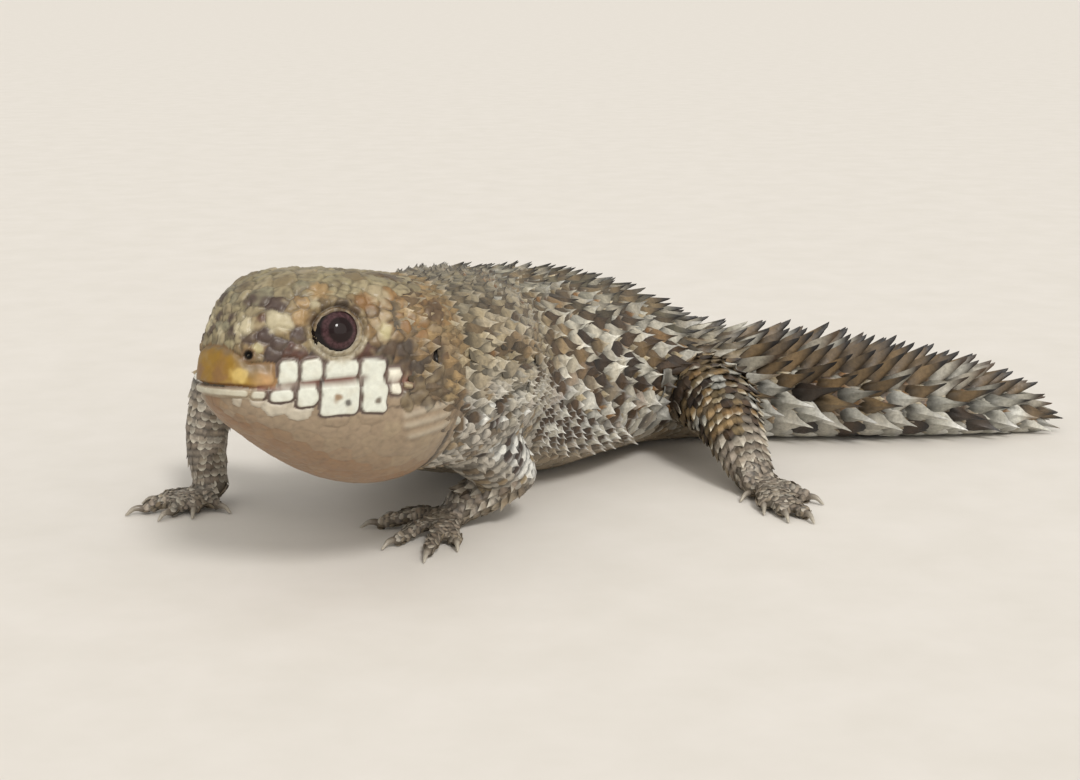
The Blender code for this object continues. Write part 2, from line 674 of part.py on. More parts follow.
def body_spines(node, name, start, end, seed, cutters):
    """Rows of spines across one length of the body, each row set between the spines of the last.

    A spine whose tip would pass the end of its length of body is shortened. One still too long is left out.
    """
    rows = BODY_SPINES[name]
    draw = random.Random(seed)
    legs = []
    for leg in LEGS:
        legs += limb_samples(leg, 0, 4, SPINE_CLEAR) + foot_samples(leg, SPINE_CLEAR)
    pieces = []
    for row in range(rows["rows"]):
        station = rows["first"] + (rows["last"] - rows["first"]) * row / (rows["rows"] - 1)
        fade = min(1.0, interpolate(HALF_WIDTH, station) / 5.0)
        shift = 0.25 if row % 2 else -0.25
        for column in range(rows["across"]):
            step = (180 - 2 * rows["low"]) / (rows["across"] - 1)
            angle = rows["low"] + step * (column + shift) + draw.uniform(-1.5, 1.5)
            length = rows["length"] * fade * draw.uniform(0.85, 1.12)
            width = rows["width"] * fade * draw.uniform(0.9, 1.1)
            lean = rows["lean"] + draw.uniform(-5, 5)
            root = body_point(station, angle)
            out = normal_of(body_point, station, angle)
            back, _, _ = axes_from(out, frame_at(station)[1])
            tip = spine_tip(root, back, out, length, lean)
            shortest = 0.5 * length
            while past_section(tip, end) > -SECTION_CLEAR and length > shortest and end < TAIL_TIP:
                length *= 0.92
                tip = spine_tip(root, back, out, length, lean)
            if length <= shortest or past_section(root - ROOT_LENGTH * width * back, start) < SECTION_CLEAR:
                continue
            low_point = min(root.z, tip.z)
            if low_point < FLOOR_CLEAR + width or not clear_of([root, root.lerp(tip, 0.5), tip], legs):
                continue
            label = f"{name}_spine_{row}_{column}"
            pieces.append(spine(label, root, back, out, length, width, lean, cutters))
    fuse(node, pieces)


def leg_spines(node, name, joints, radii, reference, others, seed, cutters):
    """Spines round one length of a leg, leaning towards the foot."""
    rows = LEG_SPINES[name]
    draw = random.Random(seed)
    stations = [k / (len(joints) - 1) for k in range(len(joints))]
    pieces = []
    for row in range(rows["rows"]):
        place = rows["start"] + (LAST_LEG_ROW - rows["start"]) * row / (rows["rows"] - 1)
        centre = path_point(joints, place)
        tangent = (path_point(joints, place + 0.03) - path_point(joints, place - 0.03)).normalized()
        side = (reference - reference.dot(tangent) * tangent).normalized()
        rise = tangent.cross(side)
        radius = interpolate(list(zip(stations, radii)), place)
        for column in range(rows["around"]):
            turn = 2 * math.pi * (column + 0.5 * (row % 2)) / rows["around"]
            out = math.cos(turn) * side + math.sin(turn) * rise
            length = rows["length"] * draw.uniform(0.85, 1.12)
            width = rows["width"] * draw.uniform(0.9, 1.1)
            root = centre + radius * 0.98 * out
            tip = spine_tip(root, tangent, out, length, rows["lean"])
            reach = ROOT_LENGTH * width * tangent
            places = [root - reach, root + reach, root - SPINE_SUNK * out, root.lerp(tip, 0.6), tip]
            if min(root.z, tip.z) < FLOOR_CLEAR + 0.3 or not clear_of(places, others):
                continue
            if not outside_body(root, width + BODY_CLEAR) or not outside_body(tip, 1.5 * BODY_CLEAR):
                continue
            label = f"{name}_spine_{row}_{column}"
            pieces.append(spine(label, root, tangent, out, length, width, rows["lean"], cutters))
    fuse(node, pieces)


def head_angle(back, left_side, up):
    """The angle on the head of a point at a height above or below the mouth line."""
    _, crown, throat = head_sizes(back)
    square = interpolate(CROWN_SQUARENESS, back) if up > 0 else THROAT_SQUARENESS
    share = min(abs(up) / (crown if up > 0 else throat), 0.98) ** (1 / square)
    angle = math.degrees(math.asin(share))
    angle = angle if up > 0 else -angle
    return angle if left_side else 180 - angle


def sunk_plate(name, back, angle, half, cutters):
    """A plate laid on the head, its length along the head."""
    axes = axes_from(normal_of(head_point, back, angle), HEAD_BACK[1])
    return plate(name, head_point(back, angle) - PLATE_SUNK * axes[2], axes, half, cutters)


def head_plates(cutters):
    """The plates of the lips, the shields of the crown, the brows and the scales of the temples."""
    pieces = []
    lip = LIP_PLATES
    spacing = (lip["last"] - lip["first"]) / (lip["count"] - 1)
    for left_side in (True, False):
        for level in lip["levels"]:
            for k in range(lip["count"]):
                back = lip["first"] + k * spacing
                angle = head_angle(back, left_side, level)
                pieces.append(sunk_plate(f"lip_{left_side}_{level}_{k}", back, angle, lip["half"], cutters))
        brow = BROW_ANGLE if left_side else 180 - BROW_ANGLE
        pieces.append(sunk_plate(f"brow_{left_side}", EYE_BACK, brow, BROW_HALF, cutters))
    for back, angle, along, wide in CROWN_SHIELDS:
        half = (along, wide, SHIELD_PROUD)
        pieces.append(sunk_plate(f"shield_{back}_{angle}", back, angle, half, cutters))
    for back, angle in TEMPLE_SCALES:
        out = normal_of(head_point, back, angle)
        along, _, _ = axes_from(out, HEAD_BACK[1])
        root = head_point(back, angle)
        label = f"temple_{back}_{angle}"
        pieces.append(spine(label, root, along, out, TEMPLE_LENGTH, TEMPLE_WIDTH, TEMPLE_LEAN, cutters))
    for label, up in FRONT_LIPS:
        axes = axes_from(-HEAD_BACK[1], HEAD_BACK[2])
        pieces.append(plate(label, head_place(0.35, 0, up), axes, FRONT_LIP_HALF, cutters))
    return pieces


def material(name, colour, roughness):
    made = bpy.data.materials.new(name)
    made.use_nodes = True
    shader = made.node_tree.nodes["Principled BSDF"]
    shader.inputs["Base Color"].default_value = (*colour, 1)
    shader.inputs["Roughness"].default_value = roughness
    return made


def build():
    for obj in list(bpy.data.objects):
        bpy.data.objects.remove(obj)
    collection = bpy.data.collections.new("spiny_tailed_skink")
    cutters = bpy.data.collections.new("cutters")
    for made in (collection, cutters):
        bpy.context.scene.collection.children.link(made)
    half = GAP / 2
    spans = (
        ("neck", HEAD_END + half, SHOULDERS - half),
        ("torso_front", SHOULDERS + half, WAIST - half),
        ("torso_rear", WAIST + half, TAIL_ROOT - half),
        ("tail_base", TAIL_ROOT + half, TAIL_MIDDLE - half),
        ("tail_tip", TAIL_MIDDLE + half, TAIL_TIP),
    )
    nodes = [head_node(collection, cutters)]
    for name, start, end in spans:
        node = body_node(name, start, end, collection)
        body_spines(node, name, start, end, len(nodes), cutters)
        nodes.append(node)
    for side, name in ((1, "left"), (-1, "right")):
        centre, normal = eye_place(side)
        axes = axes_from(normal, HEAD_BACK[1])
        nodes.append(ball("eye_" + name, centre, [EYE_RADIUS] * 3, axes, collection, 14, 9))
    for name in LEGS:
        nodes += leg_nodes(name, collection, cutters)
    hide = material("scaly_hide", (0.3, 0.24, 0.17), 0.6)
    glass = material("eye", (0.03, 0.015, 0.01), 0.1)
    for node in nodes:
        node.data.materials.clear()
        node.data.materials.append(glass if node.name.startswith("eye") else hide)
        node.data.shade_smooth()
        node.data.set_sharp_from_angle(angle=math.radians(35))


build()
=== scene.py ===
"""Pygmy spiny-tailed skink, life size: skin, shields, scales, spines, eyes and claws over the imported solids.

Lengths are in millimetres until a mesh is made. A station is a length along the spine: -11 where the head
meets the neck, 0 at the shoulders, 51 at the hips and 98 at the end of the tail. An angle round the body or
the head is 0 on the animal's left, 90 on top and 270 below.
"""
import math
import random

import bmesh
import bpy
import numpy as np
from mathutils import Matrix, Vector, noise
from mathutils.bvhtree import BVHTree
from mathutils.kdtree import KDTree


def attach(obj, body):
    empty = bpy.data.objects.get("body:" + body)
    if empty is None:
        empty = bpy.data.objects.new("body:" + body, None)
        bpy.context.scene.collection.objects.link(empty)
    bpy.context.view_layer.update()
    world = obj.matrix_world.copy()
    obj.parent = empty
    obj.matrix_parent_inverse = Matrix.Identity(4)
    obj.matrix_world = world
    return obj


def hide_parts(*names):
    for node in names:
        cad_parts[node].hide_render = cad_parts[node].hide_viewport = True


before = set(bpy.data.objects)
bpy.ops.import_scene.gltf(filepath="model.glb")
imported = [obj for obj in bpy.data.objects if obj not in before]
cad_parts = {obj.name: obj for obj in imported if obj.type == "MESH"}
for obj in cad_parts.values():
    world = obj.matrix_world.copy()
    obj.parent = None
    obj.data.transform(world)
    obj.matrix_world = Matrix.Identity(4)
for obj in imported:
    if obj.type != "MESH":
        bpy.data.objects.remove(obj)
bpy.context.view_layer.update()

MM = 0.001
UP = Vector((0, 0, 1))
# Without a seed, the noise that bends the borders of the shields would differ from run to run
noise.seed_set(5)

# The animal's form, the same sizes as the solids are made from
HEAD_LENGTH = 21.0
HEAD_SCALE = 0.99
HEAD_PITCH = 3.0
HEAD_DROP = 1.1
PRESSED = 0.35
HEAD_END = -11.0
BELLY = 36.0
# Where the rows of the tail start
TAIL_START = 58.5
TAIL_TIP = 98.0
LIFTED_END = 30.0
STEP = 0.5
HEADING = (
    (-11.0, 46.0), (-7.0, 62.0), (-3.0, 78.0), (1.0, 92.0), (6.0, 94.0), (14.0, 73.0), (25.5, 55.0),
    (36.0, 41.0), (44.0, 30.0), (51.0, 15.0), (58.0, 4.0), (65.0, 0.0), (98.0, 6.0),
)
HALF_WIDTH = (
    (-11.0, 9.5), (-6.0, 9.4), (0.0, 10.2), (8.0, 12.0), (16.0, 13.8), (28.0, 15.0), (40.0, 13.4),
    (51.0, 10.0), (59.0, 8.5), (67.0, 7.9), (81.0, 6.6), (92.0, 4.6), (97.0, 2.0), (98.0, 1.0),
)
HALF_HEIGHT = (
    (-11.0, 9.1), (-6.0, 9.3), (0.0, 9.8), (12.0, 11.1), (28.0, 11.4), (40.0, 9.9), (51.0, 7.2),
    (59.0, 6.0), (67.0, 5.2), (81.0, 4.2), (92.0, 2.9), (97.0, 1.3), (98.0, 0.7),
)
LIFTED_HEIGHT = ((-11.0, 18.2), (0.0, 16.8), (12.0, 14.0), (20.0, 12.3), (25.0, 11.4), (30.0, 10.95))
ROLL = ((-11.0, 3.5), (0.0, 1.5), (12.0, 0.0), (98.0, 0.0))
BACK_SQUARENESS = ((-11.0, 0.74), (0.0, 0.9), (98.0, 0.9))
BELLY_SQUARENESS = ((-11.0, 0.98), (0.0, 0.94), (8.0, 0.9), (98.0, 0.9))
HEAD_SECTIONS = (
    (0.0, 1.2, 1.2, 1.1), (0.35, 2.1, 2.3, 1.8), (1.5, 3.3, 5.4, 3.0), (2.6, 4.2, 7.3, 4.0),
    (4.0, 5.3, 8.5, 4.9), (7.0, 7.3, 9.6, 7.0), (10.0, 8.4, 9.8, 8.8), (13.0, 9.3, 9.7, 10.1),
    (16.0, 10.1, 9.4, 10.8), (18.8, 10.3, 9.0, 10.8), (21.0, 9.8, 8.6, 10.2),
)
CROWN_SQUARENESS = ((0.0, 0.85), (4.0, 0.7), (13.0, 0.62), (21.0, 0.74))
THROAT_SQUARENESS = 0.95
EYE_BACK = 8.4
EYE_ANGLE = 20.0
EYE_RADIUS = 2.4
EYE_SUNK = 1.7
EAR_BACK = 17.6
EAR_ANGLE = 6.0
LEGS = {
    "fore_left": dict(
        joints=(
            (-12.6, -31.5, 13.2), (-9.5, -33.6, 10.6), (-5.9, -29.2, 5.5), (-8.0, -29.8, 3.7),
            (-10.5, -30.6, 2.3),
        ),
        radii=(4.2, 4.2, 3.0, 2.4, 1.9), facing=(-0.9, -0.44, 0.0), spread=1.25, toe=0.85,
        tips=((-21.0, -31.6), (-18.2, -38.8), (-13.8, -42.8), (-10.7, -39.4), (-19.2, -28.4)),
    ),
    "fore_right": dict(
        joints=(
            (-21.0, -30.6, 14.0), (-29.0, -26.0, 14.4), (-36.8, -21.6, 12.8), (-38.0, -22.0, 7.2),
            (-37.6, -23.0, 2.4),
        ),
        radii=(4.0, 3.3, 2.7, 2.3, 1.9), facing=(-0.75, -0.66, 0.0), spread=1.25, toe=0.85,
        tips=((-45.8, -27.4), (-42.0, -29.4), (-38.6, -28.6), (-34.9, -26.6), (-45.0, -23.0)),
    ),
    "hind_left": dict(
        joints=(
            (15.0, 2.0, 7.2), (17.2, -6.0, 7.4), (18.4, -12.0, 6.4), (19.3, -15.4, 4.4),
            (20.3, -18.2, 2.3),
        ),
        radii=(4.4, 4.5, 3.6, 2.9, 2.2), facing=(0.62, -0.78, 0.0), spread=1.3, toe=0.9,
        tips=((18.6, -22.4), (20.6, -27.2), (22.8, -29.9), (25.4, -30.2), (27.4, -23.4)),
    ),
    "hind_right": dict(
        joints=(
            (12.0, 13.0, 6.8), (11.0, 19.0, 6.2), (10.8, 24.0, 5.2), (12.8, 27.6, 3.8),
            (15.4, 30.4, 2.3),
        ),
        radii=(4.4, 4.2, 3.3, 2.7, 2.0), facing=(0.72, 0.69, 0.0), spread=1.3, toe=0.9,
        tips=((14.4, 34.6), (17.6, 39.4), (21.2, 42.0), (24.6, 41.6), (24.8, 33.6)),
    ),
}
PALM_HEIGHT = 1.2
KNUCKLE_HEIGHT = 1.3
CLAW_LENGTH = 1.9

FLESH = ["head", "neck", "torso_front", "torso_rear", "tail_base", "tail_tip"]
FLESH += [leg + "_" + length for leg in LEGS for length in ("upper", "lower", "foot")]


def interpolate(table, at):
    """A smooth curve through (place, value) pairs."""
    if at <= table[0][0]:
        return table[0][1]
    if at >= table[-1][0]:
        return table[-1][1]
    k = max(i for i in range(len(table) - 1) if table[i][0] <= at)
    slopes = []
    for i in (k, k + 1):
        before = table[max(i - 1, 0)]
        after = table[min(i + 1, len(table) - 1)]
        slopes.append((after[1] - before[1]) / (after[0] - before[0]))
    (x0, y0), (x1, y1) = table[k], table[k + 1]
    span = x1 - x0
    t = (at - x0) / span
    blend = t * t * (3 - 2 * t)
    bend = span * (slopes[0] * t * (1 - t) ** 2 - slopes[1] * t * t * (1 - t))
    return y0 * (1 - blend) + y1 * blend + bend


def ease(low, high, value):
    """0 below low, 1 above high and a smooth step between. Low may be the larger."""
    t = min(max((value - low) / (high - low), 0.0), 1.0)
    return t * t * (3 - 2 * t)


def spine_height(station):
    if station < LIFTED_END:
        return interpolate(LIFTED_HEIGHT, station)
    return interpolate(HALF_HEIGHT, station) - PRESSED


def spine_points():
    count = round((TAIL_TIP - HEAD_END) / STEP)
    points = [Vector((0, 0, 0))]
    for i in range(count):
        heading = math.radians(interpolate(HEADING, HEAD_END + (i + 0.5) * STEP))
        points.append(points[-1] + STEP * Vector((math.cos(heading), math.sin(heading), 0)))
    origin = points[round((BELLY - HEAD_END) / STEP)]
    return [point - origin for point in points]


SPINE = spine_points()


def spine_at(station):
    place = min(max((station - HEAD_END) / STEP, 0), len(SPINE) - 1.001)
    k = int(place)
    point = SPINE[k].lerp(SPINE[k + 1], place - k)
    return Vector((point.x, point.y, spine_height(station)))


def frame_at(station):
    """(centre, direction to the tail, the animal's left, up) of the body's section at a station."""
    heading = math.radians(interpolate(HEADING, station))
    reach = 2.0
    slope = (spine_height(station + reach) - spine_height(station - reach)) / (2 * reach)
    if station <= HEAD_END + reach:
        slope = -math.tan(math.radians(HEAD_PITCH))
    back = Vector((math.cos(heading), math.sin(heading), slope)).normalized()
    level = Vector((math.sin(heading), -math.cos(heading), 0))
    roll = math.radians(interpolate(ROLL, station))
    upright = level.cross(back)
    upright = upright if upright.z > 0 else -upright
    left = math.cos(roll) * level + math.sin(roll) * upright
    up = math.cos(roll) * upright - math.sin(roll) * level
    return spine_at(station), back, left, up


def power(value, exponent):
    return math.copysign(abs(value) ** exponent, value)


def body_ring(station, angles, grown=0.0):
    """Points of the body's surface at one station."""
    centre, _, left, up = frame_at(station)
    width = interpolate(HALF_WIDTH, station) + grown
    height = interpolate(HALF_HEIGHT, station) + grown
    squares = [interpolate(table, station) for table in (BACK_SQUARENESS, BELLY_SQUARENESS)]
    ring = []
    for angle in angles:
        turn = math.radians(angle)
        square = squares[0] if math.sin(turn) > 0 else squares[1]
        point = centre + width * power(math.cos(turn), square) * left
        point += height * power(math.sin(turn), square) * up
        point.z = max(point.z, -grown)
        ring.append(point)
    return ring


def body_point(station, angle, grown=0.0):
    return body_ring(station, [angle], grown)[0]


HEAD_BACK = frame_at(HEAD_END)
SNOUT = HEAD_BACK[0] + HEAD_SCALE * (-HEAD_LENGTH * HEAD_BACK[1] + HEAD_DROP * HEAD_BACK[3])


def head_place(back, left, up):
    """A point by its length behind the snout tip, to the animal's left and above the line of the mouth."""
    return SNOUT + HEAD_SCALE * (back * HEAD_BACK[1] + left * HEAD_BACK[2] + up * HEAD_BACK[3])


HEAD_TABLES = [[(section[0], section[k]) for section in HEAD_SECTIONS] for k in (1, 2, 3)]


def head_sizes(back):
    """Half width, height of the crown and depth of the throat."""
    return [interpolate(table, back) for table in HEAD_TABLES]


def head_ring(back, angles, grown=0.0):
    width, crown, throat = (size + grown for size in head_sizes(back))
    crown_square = interpolate(CROWN_SQUARENESS, back)
    ring = []
    for angle in angles:
        turn = math.radians(angle)
        above = math.sin(turn) >= 0
        square = crown_square if above else THROAT_SQUARENESS
        left = width * power(math.cos(turn), square)
        up = (crown if above else throat) * power(math.sin(turn), square)
        ring.append(head_place(back, left, up))
    return ring


def head_point(back, angle):
    return head_ring(back, [angle])[0]


def head_angle(back, up):
    """The angle, on the left of the head, of a point at a height above or below the line of the mouth."""
    _, crown, throat = head_sizes(back)
    square = interpolate(CROWN_SQUARENESS, back) if up > 0 else THROAT_SQUARENESS
    share = min(abs(up) / (crown if up > 0 else throat), 0.98) ** (1 / square)
    return math.copysign(math.degrees(math.asin(share)), up)


def normal_of(surface, along, angle):
    ahead = surface(along + 0.4, angle) - surface(along - 0.4, angle)
    around = surface(along, angle + 4) - surface(along, angle - 4)
    return ahead.cross(around).normalized()


def axes_from(normal, along):
    """Three axes at right angles: along the surface, across it and out of it."""
    out = normal.normalized()
    first = (along - along.dot(out) * out).normalized()
    return first, out.cross(first), out


def path_point(joints, place):
    """A smooth path through the joints, with place from 0 to 1."""
    stations = [k / (len(joints) - 1) for k in range(len(joints))]
    tables = [[(s, joint[k]) for s, joint in zip(stations, joints)] for k in range(3)]
    return Vector([interpolate(table, place) for table in tables])


def path_radius(radii, place):
    return interpolate([(k / (len(radii) - 1), radius) for k, radius in enumerate(radii)], place)


def tube_rings(points, radii, reference, sides):
    rings = []
    for i, (point, radius) in enumerate(zip(points, radii)):
        tangent = (points[min(i + 1, len(points) - 1)] - points[max(i - 1, 0)]).normalized()
        side = (reference - reference.dot(tangent) * tangent).normalized()
        rise = tangent.cross(side)
        turns = [2 * math.pi * k / sides for k in range(sides)]
        rings.append([point + radius * (math.cos(a) * side + math.sin(a) * rise) for a in turns])
    return rings


def add_tube(bm, rings):
    """A closed tube through rings of points in millimetres, with a fan on each end."""
    rows = [[bm.verts.new(point * MM) for point in ring] for ring in rings]
    sides = len(rings[0])
    made = []
    for lower, upper in zip(rows, rows[1:]):
        for i in range(sides):
            j = (i + 1) % sides
            made.append(bm.faces.new((lower[i], lower[j], upper[j], upper[i])))
    for row in (rows[0], rows[-1]):
        middle = bm.verts.new(sum((v.co for v in row), Vector()) / sides)
        made += [bm.faces.new((row[i], row[(i + 1) % sides], middle)) for i in range(sides)]
    bmesh.ops.recalc_face_normals(bm, faces=made)


def piece_from(name, mesh, slot, *materials):
    """An object at the origin that rides on the body, with its materials; the slot is not used."""
    made = bpy.data.objects.new(name, mesh)
    bpy.context.scene.collection.objects.link(made)
    mesh.materials.clear()
    for material in materials:
        mesh.materials.append(material)
    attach(made, "root")
    return made


# Colours

def linear(code):
    """A linear colour from an sRGB hex value."""
    parts = [int(code[i:i + 2], 16) / 255 for i in (1, 3, 5)]
    return tuple(v / 12.92 if v <= 0.04045 else ((v + 0.055) / 1.055) ** 2.4 for v in parts)


def mixed(first, second, share):
    return tuple(a + (b - a) * share for a, b in zip(first, second))


CREAM = linear("#d8d4c4")
WHITE = linear("#d8d8d3")
PALE_GREY = linear("#a4a297")
PALE_TAN = linear("#a19376")
PALE_OLIVE = linear("#b0a67d")
STRAW = linear("#987d55")
OCHRE = linear("#7d5b33")
OLIVE = linear("#75664a")
OLIVE_GREY = linear("#7f7962")
UMBER = linear("#4f3d2b")
DARK_BROWN = linear("#2e231b")
NEAR_BLACK = linear("#161312")
PURPLE_BROWN = linear("#43332c")
RED_BROWN = linear("#4c2c1e")
GOLDEN = linear("#8b6918")
GOLD_PAINTED_HIGHLIGHT = linear("#c0a660")
PALE_ORANGE = linear("#b08a5c")
LIP_WHITE = linear("#cfd1c5")
THROAT_GREY = linear("#917f69")
THROAT_TAN_AND_SHADE = linear("#8a6a4c")
BELLY_GREY = linear("#85765f")
FOOT_GREY = linear("#978c7e")


def speckle(point, size, seed):
    """Smooth noise from -1 to 1, with blotches of about this size."""
    return noise.noise(Vector(point) / size + Vector((seed * 7.3, seed * 3.1, seed * 5.7)))


# The skin, one surface over the whole body

SKIN_DEPTH = 0.3
SKIN_GRAIN = 0.42
# Folds of the skin: points as (station, angle) from end to end, depth and half width
FOLDS = (
    (((-10.5, -20), (-8.0, -14), (-4.0, -8)), 0.5, 0.55),
    (((-9.5, -40), (-6.5, -26), (-3.0, -20)), 0.3, 0.6),
    (((-9.0, 14), (-5.0, 6), (-1.5, 2)), 0.35, 0.6),
    (((43.0, -6), (44.5, 14), (47.5, 30)), 0.5, 0.6),
    (((41.0, -22), (42.3, -4), (44.3, 16)), 0.4, 0.55),
    (((45.5, 2), (47.0, 22), (50.0, 38)), 0.35, 0.5),
)


def foot_forms(leg):
    """The palm rings and toe paths of a foot, and the claw of each toe."""
    joints = [Vector(joint) for joint in leg["joints"]]
    facing = Vector(leg["facing"]).normalized()
    reference = facing.cross(UP)
    wrist = joints[-1]
    tangent = (wrist - path_point(joints[2:], 0.95)).normalized()
    radius = leg["radii"][-1] - 0.15
    palm = wrist + 1.6 * facing
    palm.z = PALM_HEIGHT
    toes = []
    for tip in leg["tips"]:
        end = Vector((tip[0], tip[1], 0.25))
        flat = Vector((end.x - palm.x, end.y - palm.y, 0))
        reach = flat.length
        flat.normalize()
        nail = palm + (reach - CLAW_LENGTH) * flat
        nail.z = 0.66 * leg["toe"]
        root = palm + 0.5 * flat
        root.z = 1.15
        knuckle = root.lerp(nail, 0.5)
        knuckle.z = KNUCKLE_HEIGHT
        toes.append(dict(path=[root, knuckle, nail], flat=flat, nail=nail, end=end))
    points = [wrist + 0.05 * tangent, wrist + 0.9 * tangent, palm, palm + 1.6 * facing - 0.1 * UP]
    widths = [radius, radius * 1.02, radius * leg["spread"], radius * leg["spread"] * 0.7]
    rings = []
    for k, (point, width) in enumerate(zip(points, widths)):
        axis = tangent if k < 2 else facing
        side = (reference - reference.dot(axis) * axis).normalized()
        rise = axis.cross(side)
        thick = width if k < 2 else (PALM_HEIGHT - 0.1, 0.9)[k - 2]
        turns = [2 * math.pi * i / 16 for i in range(16)]
        rings.append([point + width * math.cos(a) * side + thick * math.sin(a) * rise for a in turns])
    return rings, toes, palm


def limb_lengths(leg):
    """The upper and the lower length of a leg as (joints, radii)."""
    joints = [Vector(joint) for joint in leg["joints"]]
    return (joints[:3], leg["radii"][:3]), (joints[2:], leg["radii"][2:])


def flesh_mesh():
    """Closed forms of the trunk, head and legs in one mesh, a coat's depth inside the solids."""
    bm = bmesh.new()
    angles = [360 * k / 64 for k in range(64)]
    stations = [HEAD_END - 0.5 + 1.0 * k for k in range(109)] + [97.6]
    add_tube(bm, [body_ring(s, angles, -SKIN_DEPTH * ease(98, 90, s)) for s in stations])
    backs = [0.3, 0.8, 1.6, 3.0, 5.0, 7.0, 9.0, 11.0, 13.0, 15.0, 17.0, 19.0, 20.4, 21.4]
    add_tube(bm, [head_ring(back, angles, -0.7) for back in backs])
    for leg in LEGS.values():
        reference = Vector(leg["facing"]).normalized().cross(UP)
        for joints, radii in limb_lengths(leg):
            places = [k / 12 for k in range(13)]
            points = [path_point(joints, place) for place in places]
            sizes = [path_radius(radii, place) - 0.12 for place in places]
            for turn in (35, 65):
                tangent = (points[12] - points[11]).normalized()
                points.append(points[12] + sizes[12] * math.sin(math.radians(turn)) * tangent)
                sizes.append(sizes[12] * math.cos(math.radians(turn)))
            add_tube(bm, tube_rings(points, sizes, reference, 20))
        rings, toes, _ = foot_forms(leg)
        add_tube(bm, rings)
        for toe in toes:
            path = [path_point(toe["path"], k / 6) for k in range(7)]
            path.append(path[-1] + 0.45 * toe["flat"])
            sizes = [leg["toe"] * share for share in (1.0, 0.98, 0.92, 0.95, 0.88, 0.8, 0.74, 0.35)]
            add_tube(bm, tube_rings(path, sizes, toe["flat"].cross(UP), 12))
    mesh = bpy.data.meshes.new("flesh")
    bm.to_mesh(mesh)
    bm.free()
    return mesh


def fold_lines():
    """Points along each fold on both flanks, with its depth and half width."""
    lines = []
    for ends, depth, width in FOLDS:
        stations = [(k / (len(ends) - 1), end[0]) for k, end in enumerate(ends)]
        turns = [(k / (len(ends) - 1), end[1]) for k, end in enumerate(ends)]
        for mirrored in (False, True):
            line = []
            for k in range(25):
                angle = interpolate(turns, k / 24)
                line.append(body_point(interpolate(stations, k / 24), 180 - angle if mirrored else angle))
            lines.append((line, depth, width))
    return lines


def make_skin_mesh():
    """The forms joined, smoothed where the legs meet the body, and folded."""
    obj = bpy.data.objects.new("flesh", flesh_mesh())
    bpy.context.scene.collection.objects.link(obj)
    remesh = obj.modifiers.new("join", "REMESH")
    remesh.mode = "VOXEL"
    remesh.voxel_size = SKIN_GRAIN * MM
    remesh.use_smooth_shade = True
    smooth = obj.modifiers.new("soften", "SMOOTH")
    smooth.factor = 0.5
    smooth.iterations = 5
    graph = bpy.context.evaluated_depsgraph_get()
    mesh = bpy.data.meshes.new_from_object(obj.evaluated_get(graph))
    bpy.data.objects.remove(obj)
    places = np.empty(len(mesh.vertices) * 3, np.float32)
    mesh.vertices.foreach_get("co", places)
    places = places.reshape(-1, 3) / MM
    normals = np.empty(len(mesh.vertices) * 3, np.float32)
    mesh.vertex_normals.foreach_get("vector", normals)
    normals = normals.reshape(-1, 3)
    for line, depth, width in fold_lines():
        nearest = np.full(len(places), 1e9)
        for point in line:
            nearest = np.minimum(nearest, np.linalg.norm(places - np.array(point), axis=1))
        dip = np.exp(-(nearest / width) ** 2) - 0.5 * np.exp(-((nearest - 2.2 * width) / width) ** 2)
        places -= normals * (depth * dip)[:, None]
    places[:, 2] = np.maximum(places[:, 2], 0.12)
    mesh.vertices.foreach_set("co", (places * MM).astype(np.float32).ravel())
    mesh.update()
    return mesh, places


class Surface:
    """The skin as a place to root scales on."""

    def __init__(self, mesh, places):
        self.points = [Vector(place) for place in places]
        self.faces = [tuple(polygon.vertices) for polygon in mesh.polygons]
        self.normals = [Vector(normal.vector) for normal in mesh.vertex_normals]
        self.tree = BVHTree.FromPolygons(self.points, self.faces)

    def settle(self, point):
        """(place on the skin, outward normal, height of the point above the skin)."""
        place, _, face, _ = self.tree.find_nearest(point)
        out = sum((self.normals[v] for v in self.faces[face]), Vector()).normalized()
        return place, out, (point - place).dot(out)


# Where each scale sits

class Spread:
    """The roots placed so far, in cells, to keep a distance between them."""

    def __init__(self, cell=1.2):
        self.cell = cell
        self.cells = {}

    def key(self, point):
        return tuple(int(math.floor(value / self.cell)) for value in point)

    def add(self, point):
        self.cells.setdefault(self.key(point), []).append(point)

    def clear(self, point, distance):
        i, j, k = self.key(point)
        reach = math.ceil(distance / self.cell)
        span = range(-reach, reach + 1)
        for a in span:
            for b in span:
                for c in span:
                    for other in self.cells.get((i + a, j + b, k + c), ()):
                        if (other - point).length < distance:
                            return False
        return True


def even_angles(station, count, shift):
    """Angles spaced evenly along the outline of the body, starting under the belly."""
    steps = 120
    angles = [-90 + 360 * k / steps for k in range(steps + 1)]
    ring = body_ring(station, angles)
    lengths = [0.0]
    for a, b in zip(ring, ring[1:]):
        lengths.append(lengths[-1] + (b - a).length)
    found = []
    for column in range(count):
        target = lengths[-1] * ((column + shift) % count) / count
        k = max(i for i in range(steps) if lengths[i] <= target)
        share = (target - lengths[k]) / max(lengths[k + 1] - lengths[k], 1e-6)
        found.append(angles[k] + share * 360 / steps)
    return found, lengths[-1] / count


KEELED, SMOOTH, POINTED, SPINE_FORM = range(4)
# Length round the body from the middle of the flank to the back
FLANK_HEIGHT = 11
